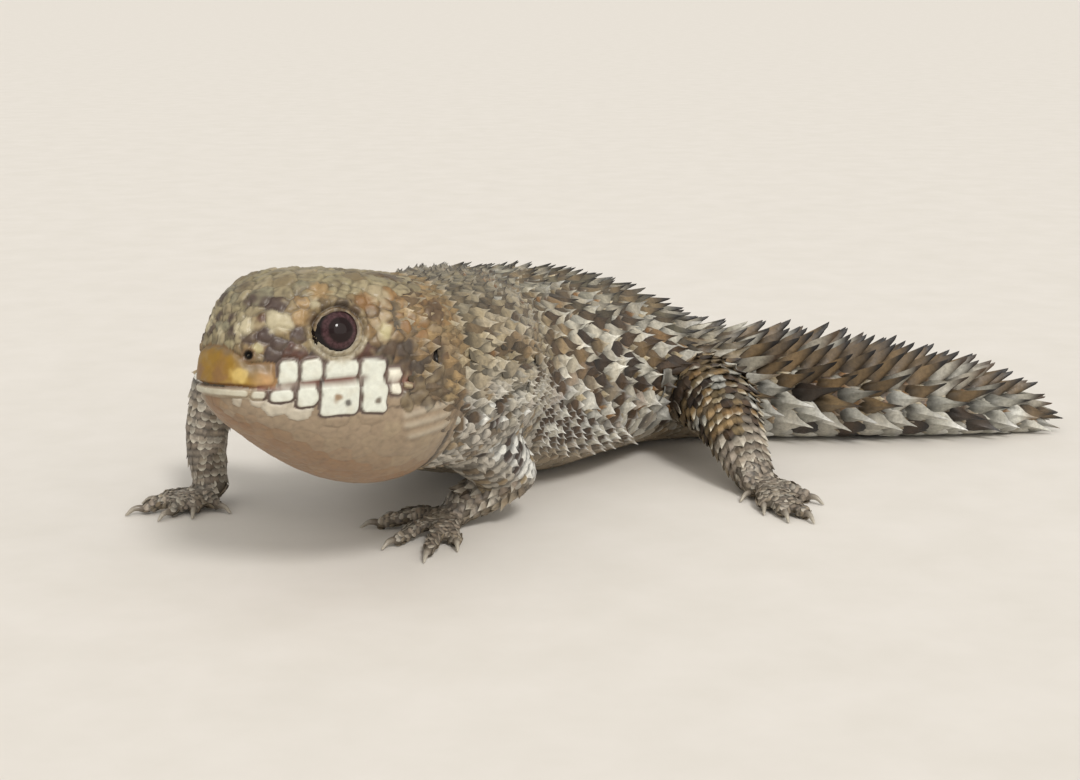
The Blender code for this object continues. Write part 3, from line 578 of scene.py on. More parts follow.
# Distance between rows along the spine, scales in a row and height of a point, by station
ROW_SPACING = (
    (-11.0, 1.0), (-7.0, 1.15), (-2.0, 1.5), (4.0, 2.0), (12.0, 2.7), (30.0, 2.9), (50.0, 2.8), (57.0, 2.6),
    (60.0, 2.6), (80.0, 2.6), (92.0, 2.1), (98.0, 1.5),
)
ROW_COUNTS = (
    (-10.4, 50), (-6.0, 50), (2.0, 48), (12.0, 46), (20.0, 43), (36.0, 36), (43.0, 31), (49.0, 28),
    (55.0, 24), (59.5, 17), (76.0, 14), (88.0, 11),
)
POINT_HEIGHT = (
    (-11.0, 0.3), (-4.0, 0.38), (4.0, 0.5), (15.0, 0.66), (28.0, 0.92), (38.0, 1.3), (50.0, 1.9),
    (58.0, 2.2),
)
# Below this angle the flank has scales half as long, by station
FINE_BELOW = ((-9.0, 0.0), (0.0, -2.0), (8.0, -8.0), (20.0, -16.0), (34.0, -26.0), (40.0, -46.0))
FINE_ABOVE = -44.0
FINE_COUNT = 62
TAIL_HEIGHT = ((58.0, 2.4), (70.0, 2.7), (90.0, 1.8), (98.0, 0.7))
# Shares of the unwrap's width that the head, the body and each leg take
HEAD_SHARE = 0.16
BODY_SHARE = 0.54
LEG_STRIP = 0.065


def body_marking(station, angle, draw):
    """The colours of a scale's plate and of its rim and point, by its place on the body."""
    turn = math.radians(angle)
    top = math.sin(turn)
    height = FLANK_HEIGHT * math.asin(top) / 1.57
    side = 31.0 if math.cos(turn) > 0 else 77.0
    along = 0.93 * station + 0.36 * height
    across = -0.36 * station + 0.93 * height
    band = noise.noise(Vector((along / 2.9, across / 1.15, side)))
    cloud = noise.noise(Vector((station / 9.0, height / 6.0, side + 9)))
    patch = noise.noise(Vector((station / 4.0, height / 3.0, side + 20)))
    chance = draw.random()
    shade = draw.random()
    if station > TAIL_START:
        return tail_marking(top, chance + 0.3 * band, shade)
    front = 1 - ease(3, 16, station + 10 * cloud)
    value = band + 0.3 * (chance - 0.5) + 0.06 * (1 - front)
    if value > 0.11 + 0.07 * ease(26, 38, station) - 0.06 * ease(0.5, 0.1, abs(top - 0.2)):
        base = mixed(NEAR_BLACK, UMBER, 0.25 + 0.7 * shade)
        tip = mixed(base, CREAM, 0.7) if draw.random() < 0.3 else mixed(base, NEAR_BLACK, 0.5)
    elif patch > 0.24 or value > 0.01:
        base = mixed(OCHRE, mixed(OLIVE, UMBER, 0.4), shade)
        tip = mixed(PALE_TAN, CREAM, 0.4) if draw.random() < 0.5 else DARK_BROWN
    else:
        base = mixed(PALE_GREY, mixed(PALE_TAN, CREAM, 0.3), shade)
        base = mixed(base, WHITE, 0.2 * ease(30, 44, station) + 0.2 * shade)
        tip = mixed(CREAM, WHITE, shade) if draw.random() < 0.6 else mixed(base, NEAR_BLACK, 0.8)
    brown = mixed(mixed(OLIVE, PALE_TAN, 0.35 + 0.6 * shade), OCHRE, 0.4 * ease(-0.1, 0.5, patch))
    if value > 0.16:
        brown = mixed(UMBER, OLIVE, 0.7 * shade)
    brown_tip = mixed(brown, CREAM, 0.75) if chance < 0.5 else mixed(brown, DARK_BROWN, 0.7)
    front *= 0.95 if value > -0.1 else 0.72
    base, tip = mixed(base, brown, front), mixed(tip, brown_tip, front)
    tip = mixed(tip, base, 0.6 * ease(0, -6, station))
    dusk = ease(0.45, 0.9, top)
    base = mixed(base, mixed(OLIVE, UMBER, shade), 0.6 * ease(46, 57, station) * ease(0.15, 0.6, top))
    base = mixed(base, mixed(OLIVE_GREY, UMBER, 0.7 * shade), 0.55 * dusk)
    tip = mixed(tip, NEAR_BLACK, dusk * (0.85 if chance > 0.2 else 0.3))
    low = ease(0.16, -0.2, top)
    base = mixed(base, mixed(WHITE, PALE_GREY, shade) if value < 0.12 else UMBER, 0.45 * low)
    tip = mixed(tip, WHITE, 0.5 * low)
    belly = ease(-0.5, -0.75, top)
    return mixed(base, BELLY_GREY, belly), mixed(tip, BELLY_GREY, belly)


def tail_marking(top, share, shade):
    """Brown blades with black points above, large pale and dark plates at the side, grey below."""
    pale = mixed(PALE_GREY, WHITE, 0.45 * shade)
    brown = mixed(mixed(STRAW, OLIVE, shade), UMBER, 0.4)
    if top > 0.45:
        if share < 0.75:
            return mixed(brown, UMBER, 0.5 * shade), NEAR_BLACK
        return mixed(PALE_GREY, brown, 0.5 * shade), mixed(NEAR_BLACK, UMBER, shade)
    if share < 0.18:
        return mixed(NEAR_BLACK, UMBER, 0.7 * shade), NEAR_BLACK
    if share < (0.34 if top > 0 else 0.25):
        return brown, mixed(NEAR_BLACK, UMBER, 0.5 * shade)
    if top < 0.1:
        return mixed(pale, PALE_TAN, 0.3 * shade), mixed(WHITE, PALE_GREY, shade)
    return pale, (NEAR_BLACK if shade < 0.6 else mixed(PALE_GREY, OCHRE, 0.5))


def in_head(point):
    offset = (point - SNOUT) / HEAD_SCALE
    back = offset.dot(HEAD_BACK[1])
    if back > HEAD_LENGTH - 0.6:
        return False
    half, crown, throat = head_sizes(max(back, 0))
    rise = offset.dot(HEAD_BACK[3])
    tall = crown if rise > 0 else throat
    return (offset.dot(HEAD_BACK[2]) / (half + 0.6)) ** 2 + (rise / (tall + 0.6)) ** 2 < 1.1


def root_scale(found, spread, surface, point, along, size, kind, colours, uv):
    """Adds one scale on the skin under a point, unless the point is inside another length of the body."""
    place, out, above = surface.settle(point)
    if above < -0.7 or in_head(place):
        return
    if abs(along.normalized().dot(out)) > 0.9:
        return
    spread.add(place)
    direction = axes_from(out, along)[0]
    found.append(dict(place=place, out=out, along=direction, size=size, kind=kind,
                      base=colours[0], tip=colours[1], uv=uv))


def in_fine_zone(station, angle):
    if station > FINE_BELOW[-1][0] or station < HEAD_END + 2:
        return False
    height = math.degrees(math.asin(math.sin(math.radians(angle))))
    return FINE_ABOVE < height < interpolate(FINE_BELOW, station)


def near_arm(point):
    """Whether a point lies on the shoulder or the upper fore leg, which have small scales of their own."""
    for name in ("fore_left", "fore_right"):
        joints, radii = limb_lengths(LEGS[name])[0]
        margin = 2.6 if name == "fore_left" else 1.3
        for k in range(9):
            if (path_point(joints, k / 8) - point).length < path_radius(radii, k / 8) + margin:
                return True
    return min((body_point(-7.5, angle) - point).length for angle in (-48, 228)) < 5.0


def field_at(station):
    """The piece of the coat that a row at a station belongs to."""
    for end, name in ((0, "neck_scales"), (28, "trunk_scales_front"), (TAIL_START, "trunk_scales_rear")):
        if station < end:
            return name
    return "tail_spines"


def body_patch(station, angle):
    """Where a scale of the body has its patch, on an unwrap that the head and the legs share."""
    along = HEAD_SHARE + BODY_SHARE * (station - HEAD_END) / (TAIL_TIP - HEAD_END)
    return along, ((angle + 90) % 360) / 360


def flank_scales(fields, surface, spread):
    """Small pointed scales low on the flanks, pale at the point and dark between."""
    draw = random.Random(17)
    station = HEAD_END + 2.2
    row = 0
    while station < FINE_BELOW[-1][0]:
        spacing = 0.52 * interpolate(ROW_SPACING, station)
        angles, across = even_angles(station, FINE_COUNT, 0.5 * (row % 2))
        for angle in angles:
            shifted = station + draw.uniform(-0.12, 0.12) * spacing
            point = body_point(shifted, angle + draw.uniform(-0.8, 0.8))
            if not in_fine_zone(station, angle) or near_arm(point):
                continue
            near = body_point(station + 1, angle) - body_point(station - 1, angle)
            size = draw.uniform(0.9, 1.15)
            base, tip = body_marking(station, angle, draw)
            crisp = ease(2, 10, station)
            tip = mixed(tip, WHITE, 0.65 * crisp) if draw.random() < 0.7 else tip
            length = spacing * near.length / 2
            shape = (across * 1.12 * size, length * 1.2 * size, (0.4 + 0.35 * crisp) * size)
            uv = body_patch(station, angle)
            found = fields[field_at(station)]
            root_scale(found, spread, surface, point, near, shape, POINTED, (base, tip), uv)
        station += spacing
        row += 1


def tail_shape(station, top, across, length, size, draw):
    """The form and size of a scale of the tail: spines above and at the sides, flat scales below."""
    spiny = ease(-0.5, 0.15, top)
    kind = SPINE_FORM if spiny > 0.35 and draw.random() < 0.55 + 0.5 * top else POINTED
    if spiny < 0.1:
        return SMOOTH, (across * 1.1, length * 1.3, 1.0)
    long = 3.05 * size if kind == SPINE_FORM else length * 1.2 * size
    return kind, (across * 1.12, long, interpolate(TAIL_HEIGHT, station) * (0.55 + 0.6 * spiny) * size)


def trunk_shape(station, top, across, length, size):
    """The form and size of a scale of the trunk: pointed above, keeled low down, smooth on the belly."""
    spiny = ease(-0.45, 0.1, top)
    kind = POINTED if spiny > 0.5 else KEELED if spiny > 0.1 else SMOOTH
    tall = interpolate(POINT_HEIGHT, station) * (0.72 + 0.4 * max(top, 0)) * spiny + 0.45 * (1 - spiny)
    return kind, (across * 1.1 * size, max(length, 0.8 * across) * 1.16 * size, tall * size)


def body_scales(surface, spread):
    """Rows of scales from the neck to the end of the tail, each row set between the scales of the last."""
    fields = {"neck_scales": [], "trunk_scales_front": [], "trunk_scales_rear": [], "tail_spines": []}
    flank_scales(fields, surface, spread)
    draw = random.Random(11)
    station = HEAD_END + 0.5
    row = 0
    while station < TAIL_TIP - 1.2:
        spacing = interpolate(ROW_SPACING, station)
        count = [c for s, c in ROW_COUNTS if s <= max(station, ROW_COUNTS[0][0])][-1]
        angles, across = even_angles(station, count, 0.5 * (row % 2))
        for angle in angles:
            top = math.sin(math.radians(angle))
            if in_fine_zone(station, angle) or (station < 8 and near_arm(body_point(station, angle))):
                continue
            jitter = draw.uniform(-0.12, 0.12) * spacing
            wobble = draw.uniform(-1.2, 1.2)
            point = body_point(station + jitter, angle + wobble)
            near = body_point(station + 1, angle) - body_point(station - 1, angle)
            length = spacing * near.length / 2
            aside = body_point(station, angle + 4) - body_point(station, angle - 4)
            near += draw.uniform(-0.32, 0.32) * aside
            size = draw.uniform(0.88, 1.14)
            if station >= TAIL_START:
                kind, shape = tail_shape(station, top, across, length, size, draw)
            else:
                kind, shape = trunk_shape(station, top, across, length, size)
            colours = body_marking(station, angle, draw)
            uv = body_patch(station, angle)
            root_scale(fields[field_at(station)], spread, surface, point, near, shape, kind, colours, uv)
        station += spacing
        row += 1
    return fields


def leg_marking(name, place, out, draw):
    """The colours of a scale on a length of leg, with blotches that follow its place."""
    chance = draw.random()
    shade = draw.random()
    blotch = speckle(place, 1.9, 4)
    if name.startswith("fore") and name.endswith("upper"):
        base = mixed(WHITE, CREAM, 0.3 * shade)
        if blotch > 0.26:
            base = mixed(DARK_BROWN, PURPLE_BROWN, shade)
        elif blotch < -0.3:
            base = mixed(STRAW, PALE_TAN, shade)
        if name.startswith("fore_right"):
            base = mixed(base, FOOT_GREY, 0.75)
        tip = mixed(base, WHITE if chance < 0.75 else UMBER, 0.4)
    elif name.startswith("hind") and name.endswith("upper"):
        base = mixed(mixed(OLIVE, STRAW, 0.8 * shade), OCHRE, 0.45 * ease(0, 0.4, blotch))
        if chance < 0.3:
            base = mixed(DARK_BROWN, UMBER, shade)
        elif chance > 0.88:
            base = mixed(PALE_GREY, WHITE, 0.5 * shade)
        tip = mixed(base, NEAR_BLACK if draw.random() < 0.65 else CREAM, 0.7)
    else:
        base = mixed(FOOT_GREY, (PALE_GREY, OLIVE, UMBER)[int(chance * 3)], 0.45 * shade)
        tip = mixed(base, CREAM if chance < 0.6 else UMBER, 0.35)
        if name.endswith("lower"):
            base = mixed(base, UMBER, 0.6 * ease(0.0, 0.35, blotch))
            tip = mixed(base, CREAM if chance < 0.6 else NEAR_BLACK, 0.5)
    if out.z < -0.3:
        base, tip = mixed(base, BELLY_GREY, 0.6), mixed(tip, BELLY_GREY, 0.6)
    return base, tip


# Spacing and height of the scales on each length of leg
LEG_SCALES = {
    "fore_left_upper": (0.88, 0.4), "fore_left_lower": (1.0, 0.85), "fore_right_upper": (0.9, 0.4),
    "fore_right_lower": (0.85, 0.4), "hind_left_upper": (1.45, 0.85), "hind_left_lower": (1.15, 0.75),
    "hind_right_upper": (1.45, 0.85), "hind_right_lower": (1.15, 0.75),
}


def leg_kind(name, part, out, draw):
    """The form of a scale of a leg: smooth beneath and mostly on the arms, keeled or pointed elsewhere."""
    flat = name.startswith("fore") and (part == "upper" or name == "fore_right")
    kind = SMOOTH if out.z < -0.55 or (flat and draw.random() < 0.75) else KEELED
    if name.startswith("hind") and part == "upper" and kind == KEELED and draw.random() < 0.5:
        kind = POINTED
    return kind


def toe_gap(toe, point):
    """How far a point lies from the middle line of a toe."""
    return min((toe["path"][0].lerp(toe["nail"], k / 6) - point).length for k in range(7))


def foot_scales(found, name, surface, spread, index, draw):
    """Small scales over a foot and its toes, all pointing to the claws."""
    _, toes, palm = foot_forms(LEGS[name])
    wrist = Vector(LEGS[name]["joints"][-1])
    order = [point for point in surface.points if (point - palm).length < 11 and point.z < 4.2]
    draw.shuffle(order)
    for point in order:
        toe = min(toes, key=lambda each: toe_gap(each, point))
        gap = toe_gap(toe, point)
        if gap > 2.6 and (point - wrist).length > 3.4:
            continue
        spacing = 0.4 if gap < 1.2 else 0.5
        if (point - toe["nail"]).length < 0.45 or not spread.clear(point, spacing):
            continue
        place, out, _ = surface.settle(point)
        if (point - toe["nail"]).dot(toe["flat"]) > 0.15:
            continue
        kind = KEELED if gap > 1.2 and out.z > 0.3 else SMOOTH
        size = draw.uniform(0.9, 1.1)
        shape = (spacing * 1.75 * size, spacing * 1.6 * size, 0.13 if place.z > 0.3 else 0.1)
        local = (point - palm) / 22
        uv = (0.75 + LEG_STRIP * index + 0.5 * local.x, 0.82 + local.y * 0.5)
        colours = leg_marking(name + "_foot", point, out, draw)
        root_scale(found, spread, surface, place, toe["flat"], shape, kind, colours, uv)


def leg_scales(name, surface, spread, index):
    """Rows of scales along a leg, then small ones over the foot and the toes."""
    found = []
    leg = LEGS[name]
    draw = random.Random(50 + index)
    reference = Vector(leg["facing"]).normalized().cross(UP)
    for part, (joints, radii) in zip(("upper", "lower"), limb_lengths(leg)):
        spacing, tall = LEG_SCALES[name + "_" + part]
        reach = sum((b - a).length for a, b in zip(joints, joints[1:]))
        rows = round(reach / spacing)
        for row in range(rows + 1):
            place = (row + 0.3) / rows
            if place > 1:
                continue
            centre = path_point(joints, place)
            tangent = (path_point(joints, place + 0.03) - path_point(joints, place - 0.03)).normalized()
            side = (reference - reference.dot(tangent) * tangent).normalized()
            rise = tangent.cross(side)
            radius = path_radius(radii, place)
            count = max(8, round(2 * math.pi * radius / (spacing * 1.08)))
            width = 2 * math.pi * radius / count
            for column in range(count):
                turn = 2 * math.pi * (column + 0.5 * (row % 2)) / count
                out = math.cos(turn) * side + math.sin(turn) * rise
                point = centre + radius * out
                size = draw.uniform(0.9, 1.12)
                kind = leg_kind(name, part, out, draw)
                turned = tangent + draw.uniform(-0.2, 0.2) * out.cross(tangent)
                if not spread.clear(surface.settle(point)[0], 0.42 * spacing):
                    continue
                height = tall * size * (0.6 if kind == SMOOTH else 1.0)
                shape = (width * 1.14 * size, spacing * 1.2 * size, height)
                down = 0.3 * place + (0.0 if part == "upper" else 0.32)
                uv = (0.72 + LEG_STRIP * index + 0.06 * turn / 6.3, down)
                high = part == "upper" or (name.startswith("hind") and place < 0.3 + 0.35 * draw.random())
                colours = leg_marking(name + ("_upper" if high else "_lower"), point, out, draw)
                root_scale(found, spread, surface, point, turned, shape, kind, colours, uv)
    foot_scales(found, name, surface, spread, index, draw)
    return found


def nearest_limb(point):
    """The direction along the length of body or leg nearest to a point."""
    station = min((HEAD_END + 2.0 * k for k in range(55)), key=lambda s: (spine_at(s) - point).length)
    centre, best, _, _ = frame_at(station)
    least = (centre - point).length - interpolate(HALF_WIDTH, station)
    for leg in LEGS.values():
        for joints, radii in limb_lengths(leg):
            for k in range(9):
                gap = (path_point(joints, k / 8) - point).length - path_radius(radii, k / 8)
                if gap < least:
                    least = gap
                    best = path_point(joints, k / 8 + 0.05) - path_point(joints, k / 8 - 0.05)
    return best


def crease_scales(surface, spread):
    """Small scales in the armpits, the groin and anywhere else that the rows leave bare."""
    found = []
    draw = random.Random(91)
    order = list(surface.points)
    draw.shuffle(order)
    for point in order:
        arm = point.y < -15 and near_arm(point)
        if in_head(point) or not spread.clear(point, 0.82 if arm else 1.1):
            continue
        along = nearest_limb(point)
        place, out, _ = surface.settle(point)
        size = draw.uniform(0.9, 1.15)
        chance = draw.random()
        base = mixed((UMBER, OLIVE, PALE_TAN, OCHRE, PALE_GREY)[int(chance * 5)], UMBER, 0.4 * draw.random())
        if out.z < -0.4:
            base = mixed(base, BELLY_GREY, 0.8)
        kind = KEELED if out.z > -0.3 else SMOOTH
        shape = (1.15 * size, 1.35 * size, 0.5 if place.z > 0.4 else 0.2)
        uv = (0.2 + 0.4 * (point.x + 50) / 110, 0.5 + point.y / 110)
        colours = (base, mixed(base, CREAM, 0.3))
        if arm:
            shape = (1.0 * size, 1.15 * size, 0.4)
            kind = SMOOTH if draw.random() < 0.75 else KEELED
            colours = leg_marking("fore_upper", place, out, draw)
        root_scale(found, spread, surface, place, along, shape, kind, colours, uv)
    return found


# The forms of one scale, half of it from the middle to the edge, in rows from the root to the rear.
# Width is 1 across, length 1 from row to row, height in millimetres.
KEELED_ROWS = (
    ((0, -0.5, -0.08), (0.25, -0.48, -0.14), (0.42, -0.42, -0.25)),
    ((0, 0.0, 0.26), (0.28, 0.0, 0.09), (0.54, 0.02, -0.15)),
    ((0, 0.45, 0.45), (0.25, 0.38, 0.17), (0.46, 0.3, -0.05)),
    ((0, 0.85, 0.62), (0.13, 0.64, 0.32), (0.3, 0.45, 0.04)),
)
SMOOTH_ROWS = (
    ((0, -0.5, -0.1), (0.25, -0.48, -0.12), (0.42, -0.42, -0.2)),
    ((0, 0.0, 0.12), (0.3, 0.0, 0.09), (0.54, 0.02, -0.1)),
    ((0, 0.4, 0.2), (0.28, 0.37, 0.16), (0.5, 0.28, -0.02)),
    ((0, 0.66, 0.17), (0.22, 0.6, 0.12), (0.36, 0.45, 0.0)),
)
POINTED_ROWS = (
    ((0, -0.55, -0.1), (0.12, -0.55, -0.12), (0.27, -0.54, -0.16), (0.4, -0.5, -0.22), (0.46, -0.46, -0.3)),
    ((0, -0.05, 0.2), (0.12, -0.05, 0.13), (0.3, -0.05, 0.08), (0.48, -0.03, 0.0), (0.58, 0.0, -0.15)),
    ((0, 0.4, 0.42), (0.1, 0.39, 0.25), (0.26, 0.36, 0.17), (0.42, 0.32, 0.1), (0.53, 0.26, -0.06)),
    ((0, 1.1, 0.98), (0.06, 0.86, 0.6), (0.17, 0.66, 0.36), (0.3, 0.54, 0.22), (0.42, 0.44, 0.02)),
)
SPINE_ROWS = (
    ((0, -0.45, -0.05), (0.15, -0.45, -0.08), (0.3, -0.44, -0.12), (0.42, -0.4, -0.2)),
    ((0, -0.1, 0.32), (0.18, -0.1, 0.18), (0.36, -0.08, 0.04), (0.5, -0.05, -0.15)),
    ((0, 0.2, 0.6), (0.15, 0.2, 0.38), (0.28, 0.2, 0.16), (0.4, 0.22, -0.02)),
    ((0, 0.58, 0.86), (0.08, 0.58, 0.68), (0.14, 0.56, 0.5), (0.17, 0.54, 0.32)),
    ((0, 1.05, 1.2), (0.012, 1.05, 1.18), (0.014, 1.05, 1.16), (0.012, 1.05, 1.14)),
)


def scale_form(name, rows, collection):
    """A closed scale from its half rows: the top, a thin rim and the underside."""
    bm = bmesh.new()
    reach = bm.verts.layers.float.new("reach")
    rim_share = bm.verts.layers.float.new("rim")
    patch = bm.verts.layers.float_vector.new("patch")
    lowest = min(point[1] for row in rows for point in row)
    longest = max(point[1] for row in rows for point in row)
    grid = []
    for row in rows:
        full = [(-x, y, z) for x, y, z in reversed(row[1:])] + list(row)
        widest = max(abs(point[0]) for point in row)
        line = []
        for x, y, z in full:
            vert = bm.verts.new((x * MM, y * MM, z * MM))
            vert[reach] = (y - lowest) / (longest - lowest)
            vert[rim_share] = 1.0 if abs(x) == widest or row is rows[-1] else 0.0
            vert[patch] = (x, (y - lowest) / (longest - lowest) - 0.5, 0)
            line.append(vert)
        grid.append(line)
    wide = len(grid[0])
    for lower, upper in zip(grid, grid[1:]):
        for i in range(wide - 1):
            bm.faces.new((lower[i], lower[i + 1], upper[i + 1], upper[i]))
    rim = grid[0] + [line[-1] for line in grid[1:]] + grid[-1][-2::-1] + [line[0] for line in grid[-2:0:-1]]
    under = []
    for vert in rim:
        lowered = bm.verts.new((vert.co.x * 0.94, vert.co.y - 0.03 * MM, vert.co.z - 0.14 * MM))
        lowered[reach] = vert[reach]
        lowered[rim_share] = 1.0
        lowered[patch] = vert[patch]
        under.append(lowered)
    for i in range(len(rim)):
        j = (i + 1) % len(rim)
        bm.faces.new((rim[i], under[i], under[j], rim[j]))
    bm.faces.new(under)
    bmesh.ops.recalc_face_normals(bm, faces=bm.faces)
    mesh = bpy.data.meshes.new(name)
    bm.to_mesh(mesh)
    bm.free()
    mesh.shade_smooth()
    mesh.set_sharp_from_angle(angle=math.radians(42))
    made = bpy.data.objects.new(name, mesh)
    collection.objects.link(made)
    return made


# The side of a scale's patch on the unwrap, and what each root carries for its scale
PATCH = 0.003
ROOT_VALUES = (
    ("out", "FLOAT_VECTOR"), ("along", "FLOAT_VECTOR"), ("size", "FLOAT_VECTOR"), ("kind", "INT"),
    ("root_uv", "FLOAT_VECTOR"), ("patch", "FLOAT_VECTOR"),
)


def fill(tree, node, inputs):
    """A link or a value on each input of a node, named or numbered."""
    for key, value in inputs.items():
        if isinstance(value, bpy.types.NodeSocket):
            tree.links.new(value, node.inputs[key])
        else:
            node.inputs[key].default_value = value


def add_node(tree, kind, settings=None, inputs=None, output=0):
    """Adds a node with its settings and inputs, and gives back one of its outputs."""
    made = tree.nodes.new(kind)
    for name, value in (settings or {}).items():
        setattr(made, name, value)
    fill(tree, made, inputs or {})
    return made.outputs[output] if made.outputs else None


def rows_of_scales():
    """The tree that sets one form of scale on each root, and joins them to one mesh."""
    tree = bpy.data.node_groups.new("rows of scales", "GeometryNodeTree")
    tree.interface.new_socket("Geometry", in_out="OUTPUT", socket_type="NodeSocketGeometry")
    for name, kind, value in (
        ("Roots", "NodeSocketGeometry", None), ("Forms", "NodeSocketCollection", None),
        ("Scale Width", "NodeSocketFloat", 1.0), ("Scale Length", "NodeSocketFloat", 1.0),
        ("Scale Height", "NodeSocketFloat", 1.0), ("Unevenness", "NodeSocketFloat", 0.06),
        ("Seed", "NodeSocketInt", 4), ("Finish", "NodeSocketMaterial", None),
    ):
        socket = tree.interface.new_socket(name, in_out="INPUT", socket_type=kind)
        if value is not None:
            socket.default_value = value
    given = tree.nodes.new("NodeGroupInput").outputs
    read = {}
    for name, kind in ROOT_VALUES:
        settings = {"data_type": kind}
        read[name] = add_node(tree, "GeometryNodeInputNamedAttribute", settings, {"Name": name})
    forms = add_node(tree, "GeometryNodeCollectionInfo", None, {
        "Collection": given["Forms"], "Separate Children": True, "Reset Children": True})
    turn = add_node(tree, "FunctionNodeAxesToRotation", {"primary_axis": "Z", "secondary_axis": "Y"}, {
        "Primary Axis": read["out"], "Secondary Axis": read["along"]})
    sizes = add_node(tree, "ShaderNodeCombineXYZ", None, {
        0: given["Scale Width"], 1: given["Scale Length"], 2: given["Scale Height"]})
    shaped = add_node(tree, "ShaderNodeVectorMath", {"operation": "MULTIPLY"}, {0: read["size"], 1: sizes})
    least = add_node(tree, "ShaderNodeMath", {"operation": "SUBTRACT"}, {0: 1.0, 1: given["Unevenness"]})
    most = add_node(tree, "ShaderNodeMath", {"operation": "ADD"}, {0: 1.0, 1: given["Unevenness"]})
    uneven = add_node(tree, "FunctionNodeRandomValue", {"data_type": "FLOAT"}, {
        2: least, 3: most, "Seed": given["Seed"]}, 1)
    final = add_node(tree, "ShaderNodeVectorMath", {"operation": "SCALE"}, {0: shaped, "Scale": uneven})
    placed = add_node(tree, "GeometryNodeInstanceOnPoints", None, {
        "Points": given["Roots"], "Instance": forms, "Pick Instance": True,
        "Instance Index": read["kind"], "Rotation": turn, "Scale": final})
    tint = add_node(tree, "FunctionNodeRandomValue", {"data_type": "FLOAT"}, {
        2: 0.0, 3: 1.0, "Seed": given["Seed"]}, 1)
    one_each = {"data_type": "FLOAT", "domain": "INSTANCE"}
    tinted = add_node(tree, "GeometryNodeStoreNamedAttribute", one_each, {
        "Geometry": placed, "Name": "tint", "Value": tint})
    real = add_node(tree, "GeometryNodeRealizeInstances", None, {"Geometry": tinted})
    local = add_node(tree, "ShaderNodeVectorMath", {"operation": "SCALE"}, {
        0: read["patch"], "Scale": PATCH})
    unwrapped = add_node(tree, "ShaderNodeVectorMath", {"operation": "ADD"}, {0: read["root_uv"], 1: local})
    mapped = add_node(tree, "GeometryNodeStoreNamedAttribute", {"data_type": "FLOAT2", "domain": "CORNER"}, {
        "Geometry": real, "Name": "OFBake", "Value": unwrapped})
    finished = add_node(tree, "GeometryNodeSetMaterial", None, {
        "Geometry": mapped, "Material": given["Finish"]})
    add_node(tree, "NodeGroupOutput", None, {0: finished})
    return tree


def set_attribute(mesh, name, kind, values):
    """A value for each vertex of a mesh."""
    made = mesh.attributes.new(name, kind, "POINT")
    key = {"FLOAT_VECTOR": "vector", "FLOAT_COLOR": "color", "INT": "value", "FLOAT": "value"}[kind]
    made.data.foreach_set(key, np.array(values, np.int32 if kind == "INT" else np.float32).ravel())


def grow_scales(name, found, tree, forms, finish, **given):
    """One piece of the coat, from the roots of its scales."""
    mesh = bpy.data.meshes.new(name + "_roots")
    mesh.from_pydata([root["place"] * MM for root in found], [], [])
    for key in ("out", "along", "size"):
        set_attribute(mesh, key, "FLOAT_VECTOR", [root[key] for root in found])
    set_attribute(mesh, "kind", "INT", [root["kind"] for root in found])
    set_attribute(mesh, "coat_colour", "FLOAT_COLOR", [(*root["base"], 1) for root in found])
    set_attribute(mesh, "tip_colour", "FLOAT_COLOR", [(*root["tip"], 1) for root in found])
    set_attribute(mesh, "root_uv", "FLOAT_VECTOR", [(*root["uv"], 0) for root in found])
    roots = bpy.data.objects.new(name + "_roots", mesh)
    bpy.context.scene.collection.objects.link(roots)
    modifier = roots.modifiers.new("scales", "NODES")
    modifier.node_group = tree
    identifiers = {item.name: item.identifier for item in tree.interface.items_tree}
    for key, value in {"Forms": forms, "Finish": finish, **given}.items():
        modifier[identifiers[key]] = value
    graph = bpy.context.evaluated_depsgraph_get()
    grown = bpy.data.meshes.new_from_object(roots.evaluated_get(graph))
    bpy.data.objects.remove(roots)
    grown.name = name
    places = np.empty(len(grown.vertices) * 3, np.float32)
    grown.vertices.foreach_get("co", places)
    places[2::3] = np.maximum(places[2::3], 0.0)
    grown.vertices.foreach_set("co", places)
    for spare, _ in ROOT_VALUES:
        if spare in grown.attributes:
            grown.attributes.remove(grown.attributes[spare])
    return piece_from(name, grown, "scaly_hide", finish)


# The head: one relief of shields, lips and throat scales

HEAD_COLUMNS = 420
HEAD_ROW = 0.14
SHELL_END = -9.7
CROWN_GROUND = linear("#8c8264")
TEMPLE_GROUND = linear("#886c45")
CHEEK_GROUND = linear("#6b5c44")
SNOUT_GROUND = linear("#857352")
LIP_SUTURE = linear("#45251b")
MOUTH_LINE = linear("#6b3b2d")
EYE_RING = linear("#a0957a")
HEAD_CREAM = linear("#b2a88b")

# Borders between the plates of each lip, in lengths behind the snout tip, their colours and their reach
UPPER_EDGES = (-3.0, 3.55, 5.15, 6.9, 10.0, 12.45, 14.0, 15.0)
UPPER_COLOURS = (GOLDEN, LIP_WHITE, LIP_WHITE, LIP_WHITE, LIP_WHITE, CREAM, PALE_TAN)
UPPER_TALL = (0.0, 2.4, 2.3, 1.95, 2.0, 1.2, 0.75)
GOLDEN_TALL = ((0.0, 4.5), (0.6, 4.0), (1.2, 2.9), (1.8, 2.2), (2.6, 2.15), (3.55, 2.2))
LOWER_EDGES = (-3.0, 1.7, 3.0, 4.8, 6.6, 10.1, 12.6, 13.95, 15.0)
LOWER_COLOURS = (
    mixed(PALE_TAN, LIP_WHITE, 0.45), mixed(PALE_TAN, LIP_WHITE, 0.6), LIP_WHITE, LIP_WHITE, LIP_WHITE,
    LIP_WHITE, CREAM, PALE_TAN,
)
LOWER_TALL = (0.95, 1.05, 1.45, 2.1, 3.2, 3.05, 1.4, 0.8)
LIP_ROUNDING = 0.7
LIP_GAP = 0.05
